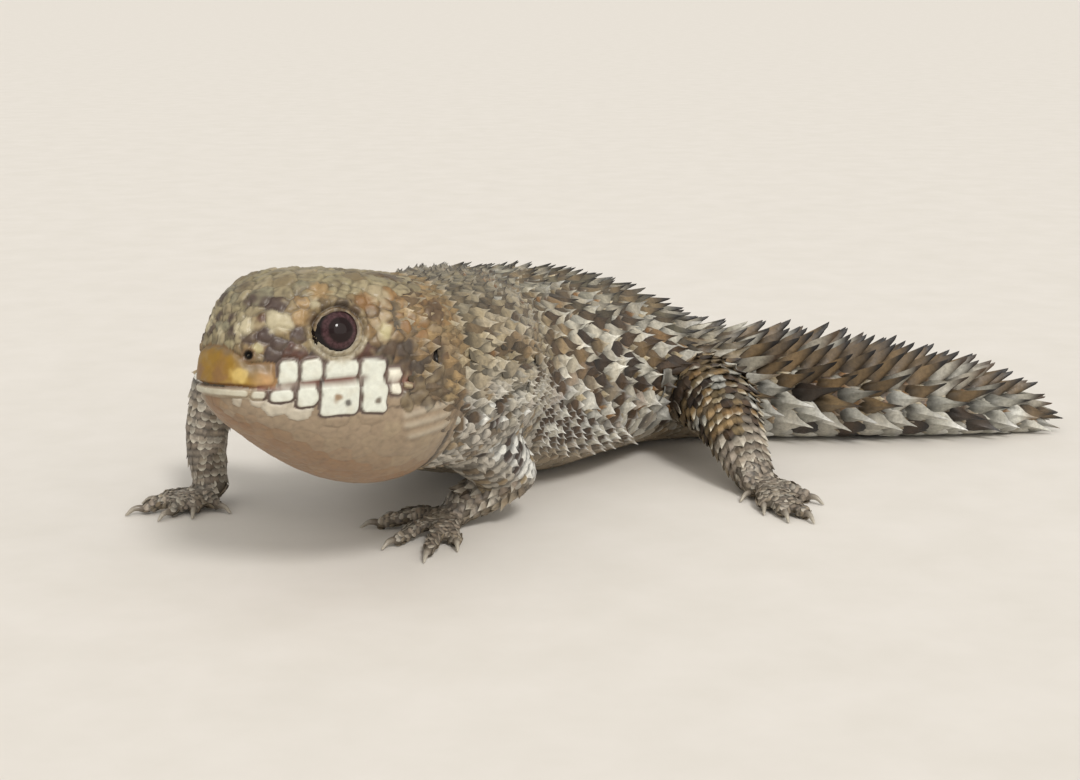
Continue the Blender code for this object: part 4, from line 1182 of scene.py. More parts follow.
# How far the line of the mouth waves over its middle line, by length back
MOUTH_WAVE = (
    (0.0, 0.4), (1.0, 0.34), (1.8, 0.2), (3.0, 0.15), (4.0, 0.22), (6.0, 0.42), (8.5, 0.58), (11.3, 0.4),
    (13.5, 0.2), (15.2, 0.0),
)
# Plates below the lower lip and the dark ones above the upper: lengths back, colour
CHIN_ROW = (
    ((1.0, 2.2), mixed(CREAM, THROAT_GREY, 0.6)), ((3.1, 3.8), mixed(CREAM, THROAT_GREY, 0.5)),
    ((4.9, 5.6), mixed(CREAM, THROAT_GREY, 0.5)), ((8.0, 8.6), THROAT_GREY), ((10.8, 11.6), THROAT_GREY),
    ((13.2,), THROAT_GREY),
)
BAND_ROW = (
    ((3.4,), PURPLE_BROWN), ((4.7, 5.3), RED_BROWN), ((6.6, 7.2), PURPLE_BROWN), ((8.4, 9.0), UMBER),
    ((10.3, 10.9), RED_BROWN), ((12.2, 12.8), DARK_BROWN), ((14.0,), UMBER),
)
# Shields of the crown and the snout on the left: points (length back, angle) of each, its colour and height
CROWN_SHIELDS = (
    (((1.55, 84),), OLIVE_GREY, 0.2),
    (((2.0, 50), (2.2, 56)), HEAD_CREAM, 0.24),
    (((2.5, 24),), STRAW, 0.2),
    (((3.0, 30),), PURPLE_BROWN, 0.18),
    (((4.0, 38), (4.7, 34)), HEAD_CREAM, 0.24),
    (((3.9, 20),), PURPLE_BROWN, 0.16),
    (((5.6, 33),), STRAW, 0.2),
    (((5.4, 21),), UMBER, 0.16),
    (((3.4, 70), (4.2, 68)), OLIVE_GREY, 0.2),
    (((4.6, 50),), PURPLE_BROWN, 0.18),
    (((6.7, 60), (7.9, 58)), OLIVE_GREY, 0.24),
    (((6.3, 44),), STRAW, 0.2),
    (((9.9, 60), (10.9, 60)), CROWN_GROUND, 0.24),
    (((10.8, 79), (12.0, 79)), CROWN_GROUND, 0.22),
    (((14.2, 66), (15.0, 60)), CROWN_GROUND, 0.22),
    (((17.2, 76), (17.3, 66)), CROWN_GROUND, 0.2),
)
MIDDLE_SHIELDS = (
    (((2.9, 90),), OLIVE_GREY, 0.2),
    (((6.2, 90), (7.4, 90), (8.6, 90)), CROWN_GROUND, 0.24),
    (((14.0, 90), (15.2, 90)), CROWN_GROUND, 0.22),
)
# Marks painted on the head: length back, angle on the left, radius, colour
HEAD_MARKS = (
    (1.5, 66, 0.6, PURPLE_BROWN), (2.0, 39, 0.7, PURPLE_BROWN), (2.9, 30, 0.95, PURPLE_BROWN),
    (3.2, 45, 0.5, RED_BROWN), (3.6, 19, 0.85, PURPLE_BROWN), (1.9, 80, 0.5, PURPLE_BROWN),
    (1.3, 90, 0.4, HEAD_CREAM), (5.3, 24, 0.8, PURPLE_BROWN), (2.05, 53, 0.85, HEAD_CREAM),
    (1.75, 60, 0.5, HEAD_CREAM), (4.0, 36, 0.95, HEAD_CREAM), (4.7, 31, 0.6, HEAD_CREAM),
    (7.0, 40, 0.42, HEAD_CREAM), (5.8, 33, 0.8, STRAW), (3.2, 72, 0.75, PURPLE_BROWN),
    (3.9, 57, 0.7, PURPLE_BROWN), (4.6, 48, 0.55, PURPLE_BROWN), (6.2, 75, 1.2, OLIVE),
    (9.0, 33, 0.75, DARK_BROWN), (10.1, 31, 0.6, UMBER), (12.5, 18, 0.85, PALE_TAN),
    (12.6, 17, 0.6, PALE_OLIVE), (15.0, 21, 0.8, OCHRE), (16.0, 18, 0.8, OCHRE), (14.2, 9, 1.1, DARK_BROWN),
    (16.0, 3, 1.4, DARK_BROWN), (12.9, 9, 0.7, UMBER), (17.6, 8, 1.3, UMBER), (8.0, -6, 0.42, OCHRE),
    (8.9, -9, 0.3, DARK_BROWN), (11.6, -8, 0.35, UMBER), (13.0, 45, 1.1, PALE_TAN),
    (9.6, 84, 1.1, PALE_TAN), (12.5, 68, 1.2, OLIVE), (16.5, 72, 1.4, UMBER), (18.2, 34, 1.4, UMBER),
    # Painted highlight: the pale gold mark at 1.15 back on the golden lip
    (2.5, 24, 0.45, PALE_OLIVE), (1.15, 13, 0.75, GOLD_PAINTED_HIGHLIGHT), (0.2, 40, 0.8, OCHRE), (6.6, 28, 0.6, UMBER),
    (11.3, 38, 0.9, OCHRE), (8.0, 52, 1.0, STRAW),
)
# Swellings and hollows of the head: length back, angle, reach along and round the head, height
HEAD_RELIEF = (
    (8.5, 38, 2.5, 0.8, 0.5), (6.0, 20, 1.1, 1.5, -0.3), (1.9, 36, 0.9, 0.9, 0.2),
    (11.4, 12, 2.0, 1.6, 0.2), (16.0, -22, 3.0, 3.0, 0.4), (4.6, 40, 1.6, 0.9, 0.15),
    (14.0, -1, 0.8, 0.5, -0.25), (18.0, 30, 2.4, 2.0, 0.3),
)
# Wrinkles of the cheek, from the jaw back to the neck
WRINKLES = (
    ((14.4, -16), (16.6, -13), (19.4, -12)), ((14.6, -21), (16.8, -18.5), (19.4, -17.5)),
    ((15.2, -27), (17.2, -24.5), (19.6, -23)),
)
NOSTRIL = (1.85, 24)


def rise_over_mouth(point):
    """How far a point lies above the line of the mouth."""
    return (Vector(point) - SNOUT).dot(HEAD_BACK[3]) / HEAD_SCALE


def lip_reach(back, upper):
    """The number of the lip plate at a length back and how far it reaches from the line of the mouth."""
    edges = UPPER_EDGES if upper else LOWER_EDGES
    number = max(k for k in range(len(edges) - 1) if edges[k] <= back or k == 0)
    if upper and number == 0:
        return number, interpolate(GOLDEN_TALL, back)
    return number, (UPPER_TALL if upper else LOWER_TALL)[number]


def lip_plate(back, rise):
    """The distance inside the edge of the nearest lip plate, negative outside it, with its number."""
    edges = UPPER_EDGES if rise > 0 else LOWER_EDGES
    number, reach = lip_reach(back, rise > 0)
    stretch = 1.2
    lean = 0.06 * (rise - reach / 2) if rise > 0 else 0.0
    middle = (edges[number] + edges[number + 1]) / 2
    half = (edges[number + 1] - edges[number]) / 2
    x = stretch * (abs(back - lean - middle) - half)
    y = abs(abs(rise) - (reach + LIP_GAP) / 2) - (reach - LIP_GAP) / 2
    rounding = min(LIP_ROUNDING, 0.42 * reach)
    x += rounding
    y += rounding
    outside = math.hypot(max(x, 0), max(y, 0)) + min(max(x, y), 0) - rounding
    return -outside, number


def eye_place(side):
    """(centre, outward normal) of an eyeball."""
    angle = EYE_ANGLE if side > 0 else 180 - EYE_ANGLE
    normal = normal_of(head_point, EYE_BACK, angle)
    return head_point(EYE_BACK, angle) - EYE_SUNK * normal, normal


def left_angle(angle):
    """The same height round the head on the left, from -90 under the throat to 90 on the crown."""
    angle = angle % 360
    if 90 < angle < 270:
        return 180 - angle
    return angle - 360 if angle >= 270 else angle


def head_grid():
    """Rows of points over the head, from the snout tip to under the first scales of the neck."""
    angles = [360 * k / HEAD_COLUMNS for k in range(HEAD_COLUMNS)]
    middle = head_place(-0.12, 0, 0.05)
    front = head_ring(0.0, angles)
    rows = [[middle + (point - middle) * (k / 9) for point in front] for k in range(1, 9)]
    lengths = [0.0] * 8
    back = 0.0
    while back < HEAD_LENGTH:
        rows.append(head_ring(back, angles))
        lengths.append(back)
        sizes = sum(head_sizes(back + 0.1)) - sum(head_sizes(back))
        back += HEAD_ROW / math.sqrt(1 + (sizes / 0.3) ** 2)
    last = head_ring(HEAD_LENGTH, angles)
    station = HEAD_END
    while station < SHELL_END:
        share = ease(0, SHELL_END - HEAD_END, station - HEAD_END)
        ring = body_ring(station, angles, -0.1 - 0.35 * share)
        drift = (station - HEAD_END) * HEAD_BACK[1]
        rows.append([(a + drift).lerp(b, share) for a, b in zip(last, ring)])
        lengths.append(HEAD_LENGTH + station - HEAD_END)
        station += HEAD_ROW
    grid = np.array([[tuple(point) for point in row] for row in rows])
    lengths = np.array(lengths)
    # The front of the snout is rounded
    soften = (np.clip((4.0 - lengths) / 3.0, 0, 1) * 0.5)[1:-1, None, None]
    for _ in range(14):
        grid[1:-1] += soften * (0.5 * grid[:-2] + 0.5 * grid[2:] - grid[1:-1])
    return grid, lengths, angles, middle


def grid_normals(grid):
    ahead = np.gradient(grid, axis=0)
    around = np.roll(grid, -1, axis=1) - np.roll(grid, 1, axis=1)
    out = np.cross(ahead, around)
    return out / np.maximum(np.linalg.norm(out, axis=2, keepdims=True), 1e-9)


def head_seeds(grid, lengths, angles):
    """Points that the shields grow from, as (point, number), and each shield's colour, height and tilt."""
    points = []
    shields = []

    def shield(places, colour, height):
        for back, angle in places:
            points.append((head_point(back, angle), len(shields)))
        shields.append(dict(colour=colour, height=height, tilt=0.0, middle=points[-1][0]))

    for side in (1, -1):
        def turned(angle):
            return angle if side > 0 else 180 - angle
        for backs, colour in CHIN_ROW:
            low = interpolate(MOUTH_WAVE, backs[0]) - lip_reach(backs[0], False)[1] - 0.5
            shield([(back, turned(head_angle(back, low))) for back in backs], colour, 0.14)
            for back in (backs[0], backs[-1] + 0.5):
                shield([(back, turned(head_angle(back, low - 1.1)))], THROAT_GREY, 0.05)
        for backs, colour in BAND_ROW:
            high = interpolate(MOUTH_WAVE, backs[0]) + lip_reach(backs[0], True)[1] + 0.55
            shield([(back, turned(head_angle(back, high))) for back in backs], colour, 0.16)
        for places, colour, height in CROWN_SHIELDS:
            shield([(back, turned(angle)) for back, angle in places], colour, height)
    for places, colour, height in MIDDLE_SHIELDS:
        shield(places, colour, height)
    draw = random.Random(7)
    spread = Spread(1.0)
    for point, _ in points:
        spread.add(point)
    eyes = [eye_place(side)[0] for side in (1, -1)]
    for _ in range(12000):
        i = draw.randrange(len(lengths))
        j = draw.randrange(len(angles))
        point = Vector(grid[i, j])
        back = lengths[i]
        a = left_angle(angles[j])
        rise = rise_over_mouth(point) - interpolate(MOUTH_WAVE, back)
        beyond = abs(rise) - lip_reach(back, rise > 0)[1]
        if back < 14.8 and beyond < (0.9 if back > 2.2 else 0.4):
            continue
        spacing = 1.35 if a > 45 else 1.0
        spacing = 1.3 if a < -25 else spacing
        if back < 3.0 or min((point - eye).length for eye in eyes) < 4.2:
            spacing = 0.75
        if min((point - eye).length for eye in eyes) < 2.6 or not spread.clear(point, spacing):
            continue
        spread.add(point)
        points.append((point, len(shields)))
        low = a < -12
        chance = draw.random()
        shade = draw.random()
        if low:
            # Darker tan towards the bottom of the throat: partly its own colour and partly painted shade on
            # the underside
            colour = mixed(THROAT_GREY, THROAT_TAN_AND_SHADE, ease(-36, -66, a))
            colour = mixed(colour, PALE_TAN if chance < 0.5 else BELLY_GREY, 0.2 * shade)
        elif a > 45:
            colour = mixed(CROWN_GROUND, UMBER if chance < 0.35 else PALE_TAN, 0.5 * shade)
        elif back > 11.0:
            ground = mixed(CHEEK_GROUND, TEMPLE_GROUND, ease(-5, 25, a))
            colour = mixed(ground, (UMBER, PALE_TAN, OCHRE, DARK_BROWN)[int(chance * 4)], 0.5 * shade)
        else:
            colour = mixed(SNOUT_GROUND, (UMBER, PALE_TAN, STRAW)[int(chance * 3)], 0.5 * shade)
        height, tilt = (0.025, 0.015) if low else (0.2, 0.13)
        shields.append(dict(colour=colour, height=height, tilt=tilt, middle=point))
    return points, shields


def wrinkle_points():
    """Points along each wrinkle, on both cheeks."""
    found = []
    for ends in WRINKLES:
        backs = [(k / 2, end[0]) for k, end in enumerate(ends)]
        turns = [(k / 2, end[1]) for k, end in enumerate(ends)]
        for k in range(33):
            angle = interpolate(turns, k / 32)
            back = interpolate(backs, k / 32)
            found += [head_point(back, angle), head_point(back, 180 - angle)]
    return found


def relief_of_head(grid):
    """Swellings, hollows and wrinkles under the shields."""
    back_way = np.array(HEAD_BACK[1])
    rise = np.zeros(grid.shape[:2])
    for back, angle, along, aside_reach, height in HEAD_RELIEF:
        for turned in (angle, 180 - angle):
            offset = grid - np.array(head_point(back, turned))
            ahead = offset @ back_way
            aside = np.sqrt(np.maximum((offset ** 2).sum(axis=2) - ahead ** 2, 0))
            rise += height * np.exp(-(ahead / along) ** 2 - (aside / aside_reach) ** 2)
    nearest = np.full(grid.shape[:2], 99.0)
    for point in wrinkle_points():
        nearest = np.minimum(nearest, ((grid - np.array(point)) ** 2).sum(axis=2))
    nearest = np.sqrt(nearest)
    folds = np.exp(-(nearest / 0.3) ** 2)
    return rise + 0.13 * folds - 0.07 * np.exp(-((nearest - 0.8) / 0.3) ** 2), folds


def lid_touch(point, eyes, height, ground):
    """The swollen granular lids round each eye, the crease above them and the eyeball's hollow, with painted
    shade in the crease, inside the upper lid and round the eyeball.
    """
    for centre, out in eyes:
        offset = point - centre
        depth = offset.dot(out)
        flat = offset - depth * out
        aside = flat.length
        if depth < 0 or aside > 3.4:
            continue
        upper = flat.dot(HEAD_BACK[3]) / max(aside, 0.1)
        gap = aside + 0.24 * max(0.0, upper) ** 2
        lower = ease(0.3, -0.5, upper)
        grain = speckle(point, 0.26, 6)
        height = height * ease(1.7, 2.6, aside)
        height += 0.26 * ease(2.3, 2.0, gap) * ease(1.42, 1.62, gap) + 0.07 * grain * ease(2.9, 2.1, gap)
        height += 0.12 * lower * ease(2.9, 2.65, gap) * ease(2.3, 2.5, gap)
        height += 0.3 * (1 - lower) * ease(3.2, 2.7, gap) * ease(2.2, 2.55, gap)
        crease = ease(2.45, 2.32, gap) * ease(2.12, 2.25, gap)
        height -= 0.14 * crease + 2.1 * ease(1.6, 1.36, gap)
        tone = mixed(mixed(UMBER, STRAW, 0.4), EYE_RING, lower)
        tone = mixed(tone, UMBER if grain > 0 else CREAM, min(0.7, 0.7 * abs(grain)))
        cover = lower * ease(2.95, 2.5, gap) + 0.6 * (1 - lower) * ease(2.3, 2.1, gap)
        ground = mixed(ground, tone, 0.75 * cover)
        # Painted shade: the crease and a band inside the lids are darkened, more above than below, as shade
        # under the brow; the socket round the eyeball is painted black as shade in the hollow
        ground = mixed(ground, DARK_BROWN, crease * (0.5 - 0.3 * lower))
        ground = mixed(ground, DARK_BROWN, 0.6 * ease(2.0, 1.75, gap) * (1 - 0.6 * lower))
        ground = mixed(ground, NEAR_BLACK, 0.85 * ease(1.62, 1.44, gap))
    return height, ground


def border_of(point, tree, points, soft):
    """The number of the shield at a point of the head, and how far its border is."""
    shaken = point + (0.0 if soft else 0.28) * noise.noise_vector(point / 0.8)
    near = tree.find_n(shaken, 9)
    own = points[near[0][1]][1]
    first = near[0][2]
    second = next((gap for _, k, gap in near if points[k][1] != own), first + 1.2)
    return own, 0.5 * (second - first)


def lip_look(point, back, rise, lip_edge, number):
    """Height and colour of a lip plate, the sutures round it and the line of the mouth."""
    colour = (UPPER_COLOURS if rise > 0 else LOWER_COLOURS)[number]
    golden = number == 0 and rise > 0
    full = min(max(lip_edge - 0.02, 0) / 0.3, 1.0)
    height = 0.36 * (1 - (1 - full) ** 2)
    if golden:
        top_gap = lip_reach(back, True)[1] - rise + 0.5 * speckle(point, 0.8, 16)
        height *= ease(-0.2, 1.0, top_gap)
        colour = mixed(colour, PALE_ORANGE, ease(1.5, 3.0, back))
    ground = mixed(colour, PALE_TAN, max(0.0, 0.4 * speckle(point, 0.8, 5)))
    if golden:
        ground = mixed(ground, OCHRE, max(0.0, 0.9 * speckle(point, 1.2, 8)))
        ground = mixed(ground, mixed(OLIVE, UMBER, 0.5), 0.85 * ease(1.5, 0.1, top_gap))
    line = ease(0.27, 0.1, lip_edge) * (1 - ease(0.3, 0.15, abs(rise)))
    warm = golden or back < 2.6
    ground = mixed(ground, OCHRE if warm else LIP_SUTURE, line * (0.5 if warm else 0.9))
    slit = ease(0.3, 0.12, abs(rise))
    return height - 0.14 * slit, mixed(ground, MOUTH_LINE, slit * (0.95 if back > 2.2 else 0.5))


def shield_look(point, plate, edge, soft, fold):
    """Height and colour of a shield, from how far its border is."""
    full = min(edge / 0.26, 1.0)
    height = plate["height"] * (1 - (1 - full) ** 2)
    lean = (point - plate["middle"]).dot(HEAD_BACK[1])
    height += plate["tilt"] * max(-1.0, min(1.0, lean / 0.6)) * full
    height += (0.012 if soft else 0.05) * speckle(point, 0.42, 1)
    rough = 0.35 if soft else 1.0
    ground = plate["colour"]
    for colour, share, size, seed in (
        (UMBER, 0.75, 1.5, 5), (PALE_TAN, 0.6, 0.7, 9), (DARK_BROWN, 0.8, 0.45, 12),
    ):
        ground = mixed(ground, colour, max(0.0, share * rough * speckle(point, size, seed)))
    dark = ease(0.12, 0.02, edge)
    ground = mixed(ground, mixed(ground, DARK_BROWN, 0.8), dark * (0.1 if soft else 0.55))
    return height, mixed(ground, CREAM, 0.22 * fold)


def mark_look(point, marks, ground):
    """The colour of a point under the marks painted over the shields."""
    for place, radius, colour in marks:
        gap = (point - place).length
        if gap < 1.7 * radius:
            share = ease(1.3 * radius, 0.5 * radius, gap + 0.45 * radius * speckle(point, 0.5, 2))
            ground = mixed(ground, colour, 0.85 * share)
    return ground


def head_openings():
    """The places of the nostrils, and those of the ears with three axes at each."""
    noses = [head_point(NOSTRIL[0], turned) for turned in (NOSTRIL[1], 180 - NOSTRIL[1])]
    ears = []
    for angle in (EAR_ANGLE, 180 - EAR_ANGLE):
        out = normal_of(head_point, EAR_BACK, angle)
        ears.append((head_point(EAR_BACK, angle), axes_from(out, HEAD_BACK[1])))
    return noses, ears


def opening_look(point, noses, ears, height, ground):
    """The nostrils and the ears: shallow hollows, painted black inside as painted shade of the openings."""
    for place in noses:
        gap = (point - place).length
        height += 0.16 * ease(0.85, 0.55, gap)
        height -= 0.55 * ease(0.46, 0.14, gap)
        ground = mixed(ground, mixed(UMBER, OCHRE, 0.4), 0.7 * ease(0.8, 0.5, gap))
        # Painted shade: black in the nostril for the shade inside it
        ground = mixed(ground, NEAR_BLACK, ease(0.5, 0.3, gap))
    for place, (along, across, out) in ears:
        offset = point - place
        gap = math.hypot(offset.dot(along) / 0.45, offset.dot(across) / 0.9)
        if gap < 1.7 and abs(offset.dot(out)) < 2:
            height -= 0.4 * ease(1.1, 0.45, gap)
            # Painted shade: black in the ear opening for the shade inside it
            ground = mixed(ground, NEAR_BLACK, 0.9 * ease(1.3, 0.7, gap))
    return height, ground


def head_mesh_from(middle, grid, colours):
    """The mesh of the head from its rows of points, with a fan at the snout tip and an unwrap of its own."""
    rows, columns = grid.shape[:2]
    verts = [tuple(middle * MM)] + [tuple(value * MM) for value in grid.reshape(-1, 3)]
    faces = [(0, 1 + j, 1 + (j + 1) % columns) for j in range(columns)]
    unwrap = [(0.0, 0.5)]
    for i in range(rows):
        first = 1 + i * columns
        unwrap += [(HEAD_SHARE * (i + 1) / rows, j / columns) for j in range(columns)]
        for j in range(columns if i < rows - 1 else 0):
            k = (j + 1) % columns
            faces.append((first + j, first + columns + j, first + columns + k, first + k))
    mesh = bpy.data.meshes.new("head_shields")
    mesh.from_pydata(verts, [], faces)
    set_attribute(mesh, "coat_colour", "FLOAT_COLOR", [colours[0]] + colours)
    layer = mesh.uv_layers.new(name="OFBake")
    corners = np.empty(len(mesh.loops), np.int32)
    mesh.loops.foreach_get("vertex_index", corners)
    layer.data.foreach_set("uv", np.array(unwrap, np.float32)[corners].ravel())
    mesh.shade_smooth()
    bm = bmesh.new()
    bm.from_mesh(mesh)
    bmesh.ops.recalc_face_normals(bm, faces=bm.faces)
    inside = Vector(HEAD_BACK[0]) * MM
    if sum(face.normal.dot(face.calc_center_median() - inside) for face in bm.faces) < 0:
        bmesh.ops.reverse_faces(bm, faces=bm.faces)
    bm.to_mesh(mesh)
    bm.free()
    return mesh


def make_head_mesh():
    """The relief of the head: height and colour worked out at each point of its grid."""
    grid, lengths, angles, middle = head_grid()
    normals = grid_normals(grid)
    points, shields = head_seeds(grid, lengths, angles)
    tree = KDTree(len(points))
    for k, (point, _) in enumerate(points):
        tree.insert(point, k)
    tree.balance()
    relief, folds = relief_of_head(grid)
    marks = []
    for back, angle, radius, colour in HEAD_MARKS:
        for turned in (angle, 180 - angle):
            marks.append((head_point(back, turned), radius, colour))
    eyes = [eye_place(side) for side in (1, -1)]
    noses, ears = head_openings()
    colours = []
    heights = np.zeros(grid.shape[:2])
    for i, back in enumerate(lengths):
        for j, angle in enumerate(angles):
            point = Vector(grid[i, j])
            soft = left_angle(angle) < -12
            rise = rise_over_mouth(point) - interpolate(MOUTH_WAVE, back)
            shift = 0.13 * speckle(point, 0.9, 14)
            lip_edge, number = lip_plate(back + shift, rise) if back < MOUTH_WAVE[-1][0] else (-9.0, 0)
            lip_edge += 0.07 * speckle(point, 0.7, 15)
            if lip_edge > -0.12:
                height, ground = lip_look(point, back, rise, lip_edge, number)
            else:
                own, edge = border_of(point, tree, points, soft)
                edge = min(edge, -lip_edge - 0.1)
                height, ground = shield_look(point, shields[own], edge, soft, folds[i, j])
            ground = mark_look(point, marks, ground)
            height, ground = lid_touch(point, eyes, height, ground)
            heights[i, j], ground = opening_look(point, noses, ears, height, ground)
            colours.append((*ground, 1.0))
    fade = ((21.8 - lengths) / 1.2).clip(0, 1)[:, None]
    grid = grid + normals * ((heights + relief) * fade - 0.25)[:, :, None]
    return head_mesh_from(middle, grid, colours)


def root_on_head(found, back, angle, size, kind, base, tip):
    """Adds one scale on the head at a length back and an angle."""
    out = normal_of(head_point, back, angle)
    along = axes_from(out, HEAD_BACK[1])[0]
    uv = (HEAD_SHARE * back / 22, angle % 360 / 360)
    place = head_point(back, angle) - 0.12 * out
    found.append(dict(place=place, out=out, along=along, size=size, kind=kind, base=base, tip=tip, uv=uv))


# How far back the small scales start, by angle on the left
NAPE_START = (
    (-90, 20.4), (-30, 20.0), (-14, 17.0), (-3, 15.2), (8, 14.4), (36, 14.0), (52, 17.4), (66, 18.6),
    (90, 18.8),
)


def nape_scales():
    """Small keeled scales over the temples, the cheeks and the nape, where the shields of the head end."""
    found = []
    draw = random.Random(31)
    back = 13.2
    row = 0
    while back < HEAD_LENGTH + 0.2:
        width, crown, throat = head_sizes(back)
        count = round(math.pi * (width + (crown + throat) / 2) * 1.06 / 1.15)
        for column in range(count):
            angle = 360 * (column + 0.5 * (row % 2)) / count + draw.uniform(-0.8, 0.8)
            a = left_angle(angle)
            start = interpolate(NAPE_START, a) + draw.uniform(-0.5, 0.5)
            near_ear = math.hypot((back - EAR_BACK) / 1.0, (a - EAR_ANGLE) / 8.5)
            if back < start or near_ear < 1:
                continue
            shade = draw.random()
            blotch = speckle((back, 0.16 * a, 3.0), 2.2, 6)
            warm = 0.35 * ease(0.05, 0.4, blotch) * ease(60, 30, abs(a))
            base = mixed(mixed(OLIVE, STRAW, 0.2 + 0.5 * shade), OCHRE, warm)
            base = mixed(base, UMBER, 0.7 * ease(-0.1, -0.35, blotch))
            if draw.random() < 0.16:
                base = mixed(PALE_TAN, OCHRE, 0.5 * shade)
            if a < -12:
                pale = mixed(THROAT_GREY, WHITE, 0.85 * ease(21.0, 21.6, back) * ease(-84, -66, a))
                base = mixed(base, pale, 0.9 * ease(-12, -26, a))
            tip = mixed(base, CREAM if draw.random() < 0.4 else DARK_BROWN, 0.3)
            low = ease(-8, -24, a)
            size = draw.uniform(0.9, 1.12)
            tall = (0.55 - 0.35 * low) * size * ease(start - 0.6, start + 1.2, back)
            kind = KEELED if low < 0.5 else SMOOTH
            root_on_head(found, back, angle, (1.28 * size, 1.55 * size, tall), kind, base, tip)
        back += 1.08
        row += 1
    return found


def ear_lobules(found):
    """The flat scales before each ear."""
    draw = random.Random(23)
    for angle in (EAR_ANGLE, 180 - EAR_ANGLE):
        for k in range(4):
            base = mixed(UMBER, PALE_TAN, 0.5 * draw.random())
            turned = angle + (k - 1.5) * 5.5
            root_on_head(found, EAR_BACK - 0.95, turned, (0.75, 0.8, 0.3), SMOOTH, base, base)


def make_eye(name, side, finish):
    """An eyeball with a swollen cornea, which knows how far each of its points is from the line of sight."""
    centre, out = eye_place(side)
    turn = Matrix(axes_from(out, HEAD_BACK[1])).transposed()
    bm = bmesh.new()
    bmesh.ops.create_uvsphere(bm, u_segments=64, v_segments=48, radius=1.0)
    gaze = []
    for vert in bm.verts:
        away = math.degrees(math.acos(max(-1.0, min(1.0, vert.co.z))))
        swell = 0.1 * ease(34, 8, away)
        gaze.append(away / 90)
        vert.co = (centre + turn @ vert.co * (EYE_RADIUS + swell)) * MM
    mesh = bpy.data.meshes.new(name)
    bm.to_mesh(mesh)
    bm.free()
    set_attribute(mesh, "gaze", "FLOAT", gaze)
    mesh.shade_smooth()
    made = piece_from(name, mesh, "eye", finish)
    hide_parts(name)
    return made


# Half thickness of a claw, from its root to its point
CLAW_SIZES = ((0, 0.4), (0.3, 0.33), (0.6, 0.22), (0.85, 0.12), (1, 0.04))


def make_claws(finish):
    """Curved claws on the twenty toes."""
    bm = bmesh.new()
    shares = []
    sizes = [interpolate(CLAW_SIZES, k / 8) for k in range(9)]
    for leg in LEGS.values():
        _, toes, _ = foot_forms(leg)
        for toe in toes:
            nail, end, flat = toe["nail"], toe["end"], toe["flat"]
            path = [nail - 0.25 * flat, nail + 0.4 * flat + 0.2 * UP, nail + 1.05 * flat + 0.14 * UP,
                    nail.lerp(end, 0.85), end - 0.1 * UP]
            points = [path_point(path, k / 8) for k in range(9)]
            before = len(bm.verts)
            add_tube(bm, tube_rings(points, sizes, flat.cross(UP), 10))
            bm.verts.ensure_lookup_table()
            for k in range(before, len(bm.verts)):
                shares.append(min(1.0, (bm.verts[k].co / MM - nail).dot(flat) / CLAW_LENGTH))
    mesh = bpy.data.meshes.new("claws")
    bm.to_mesh(mesh)
    bm.free()
    set_attribute(mesh, "reach", "FLOAT", shares)
    mesh.shade_smooth()
    return piece_from("claws", mesh, "scaly_hide", finish)


# Materials

BLEND = {"data_type": "RGBA"}
MULTIPLY = {"data_type": "RGBA", "blend_type": "MULTIPLY"}
# The index of refraction of horn
HORN_IOR = 1.54


def start_material(name):
    made = bpy.data.materials.new(name)
    made.use_nodes = True
    tree = made.node_tree
    return made, tree, tree.nodes["Principled BSDF"]


def grain(tree, size_mm, low=0.0, high=1.0, inner=(0.3, 0.7)):
    """Grains of this size in millimetres on the object, as a value between low and high."""
    place = add_node(tree, "ShaderNodeTexCoord", None, None, "Object")
    cloud = add_node(tree, "ShaderNodeTexNoise", None, {
        "Vector": place, "Scale": 1000.0 / size_mm, "Detail": 3.0, "Roughness": 0.6})
    return add_node(tree, "ShaderNodeMapRange", None, {
        "Value": cloud, "From Min": inner[0], "From Max": inner[1], "To Min": low, "To Max": high})


def keratin_scales():
    """Keratin, the horn of the scales: dry, half matt, uneven in tone, with a paler worn rim and point."""
    made, tree, shader = start_material("keratin_scales")
    base, tip = (add_node(tree, "ShaderNodeAttribute", {"attribute_name": name})
                 for name in ("coat_colour", "tip_colour"))
    reach, rim, tint = (add_node(tree, "ShaderNodeAttribute", {"attribute_name": name}, None, "Fac")
                        for name in ("reach", "rim", "tint"))
    worn = add_node(tree, "ShaderNodeMapRange", None, {
        "Value": rim, "From Min": 0.35, "From Max": 0.85, "To Max": 0.4})
    pointed = add_node(tree, "ShaderNodeMapRange", None, {"Value": reach, "From Min": 0.6, "From Max": 0.88})
    edge = add_node(tree, "ShaderNodeMath", {"operation": "MAXIMUM"}, {0: worn, 1: pointed})
    # Painted shade: the root of each scale is darker, as it lies in the shadow of the scale before it
    painted_root_shade = add_node(tree, "ShaderNodeMapRange", None, {
        "Value": reach, "From Min": 0.16, "From Max": 0.48, "To Min": 0.3})
    own = add_node(tree, "ShaderNodeMapRange", None, {"Value": tint, "To Min": 0.74, "To Max": 1.16})
    colour = add_node(tree, "ShaderNodeMix", BLEND, {0: edge, 6: base, 7: tip}, 2)
    for shade in (grain(tree, 0.45, 0.7, 1.2), painted_root_shade, own):
        colour = add_node(tree, "ShaderNodeMix", MULTIPLY, {0: 1.0, 6: colour, 7: shade}, 2)
    bump = add_node(tree, "ShaderNodeBump", None, {
        "Strength": 0.5, "Distance": 0.00006, "Height": grain(tree, 0.16, inner=(0.0, 1.0))})
    fill(tree, shader, {
        "Base Color": colour, "Roughness": grain(tree, 0.3, 0.4, 0.62), "Normal": bump, "IOR": HORN_IOR})
    return made


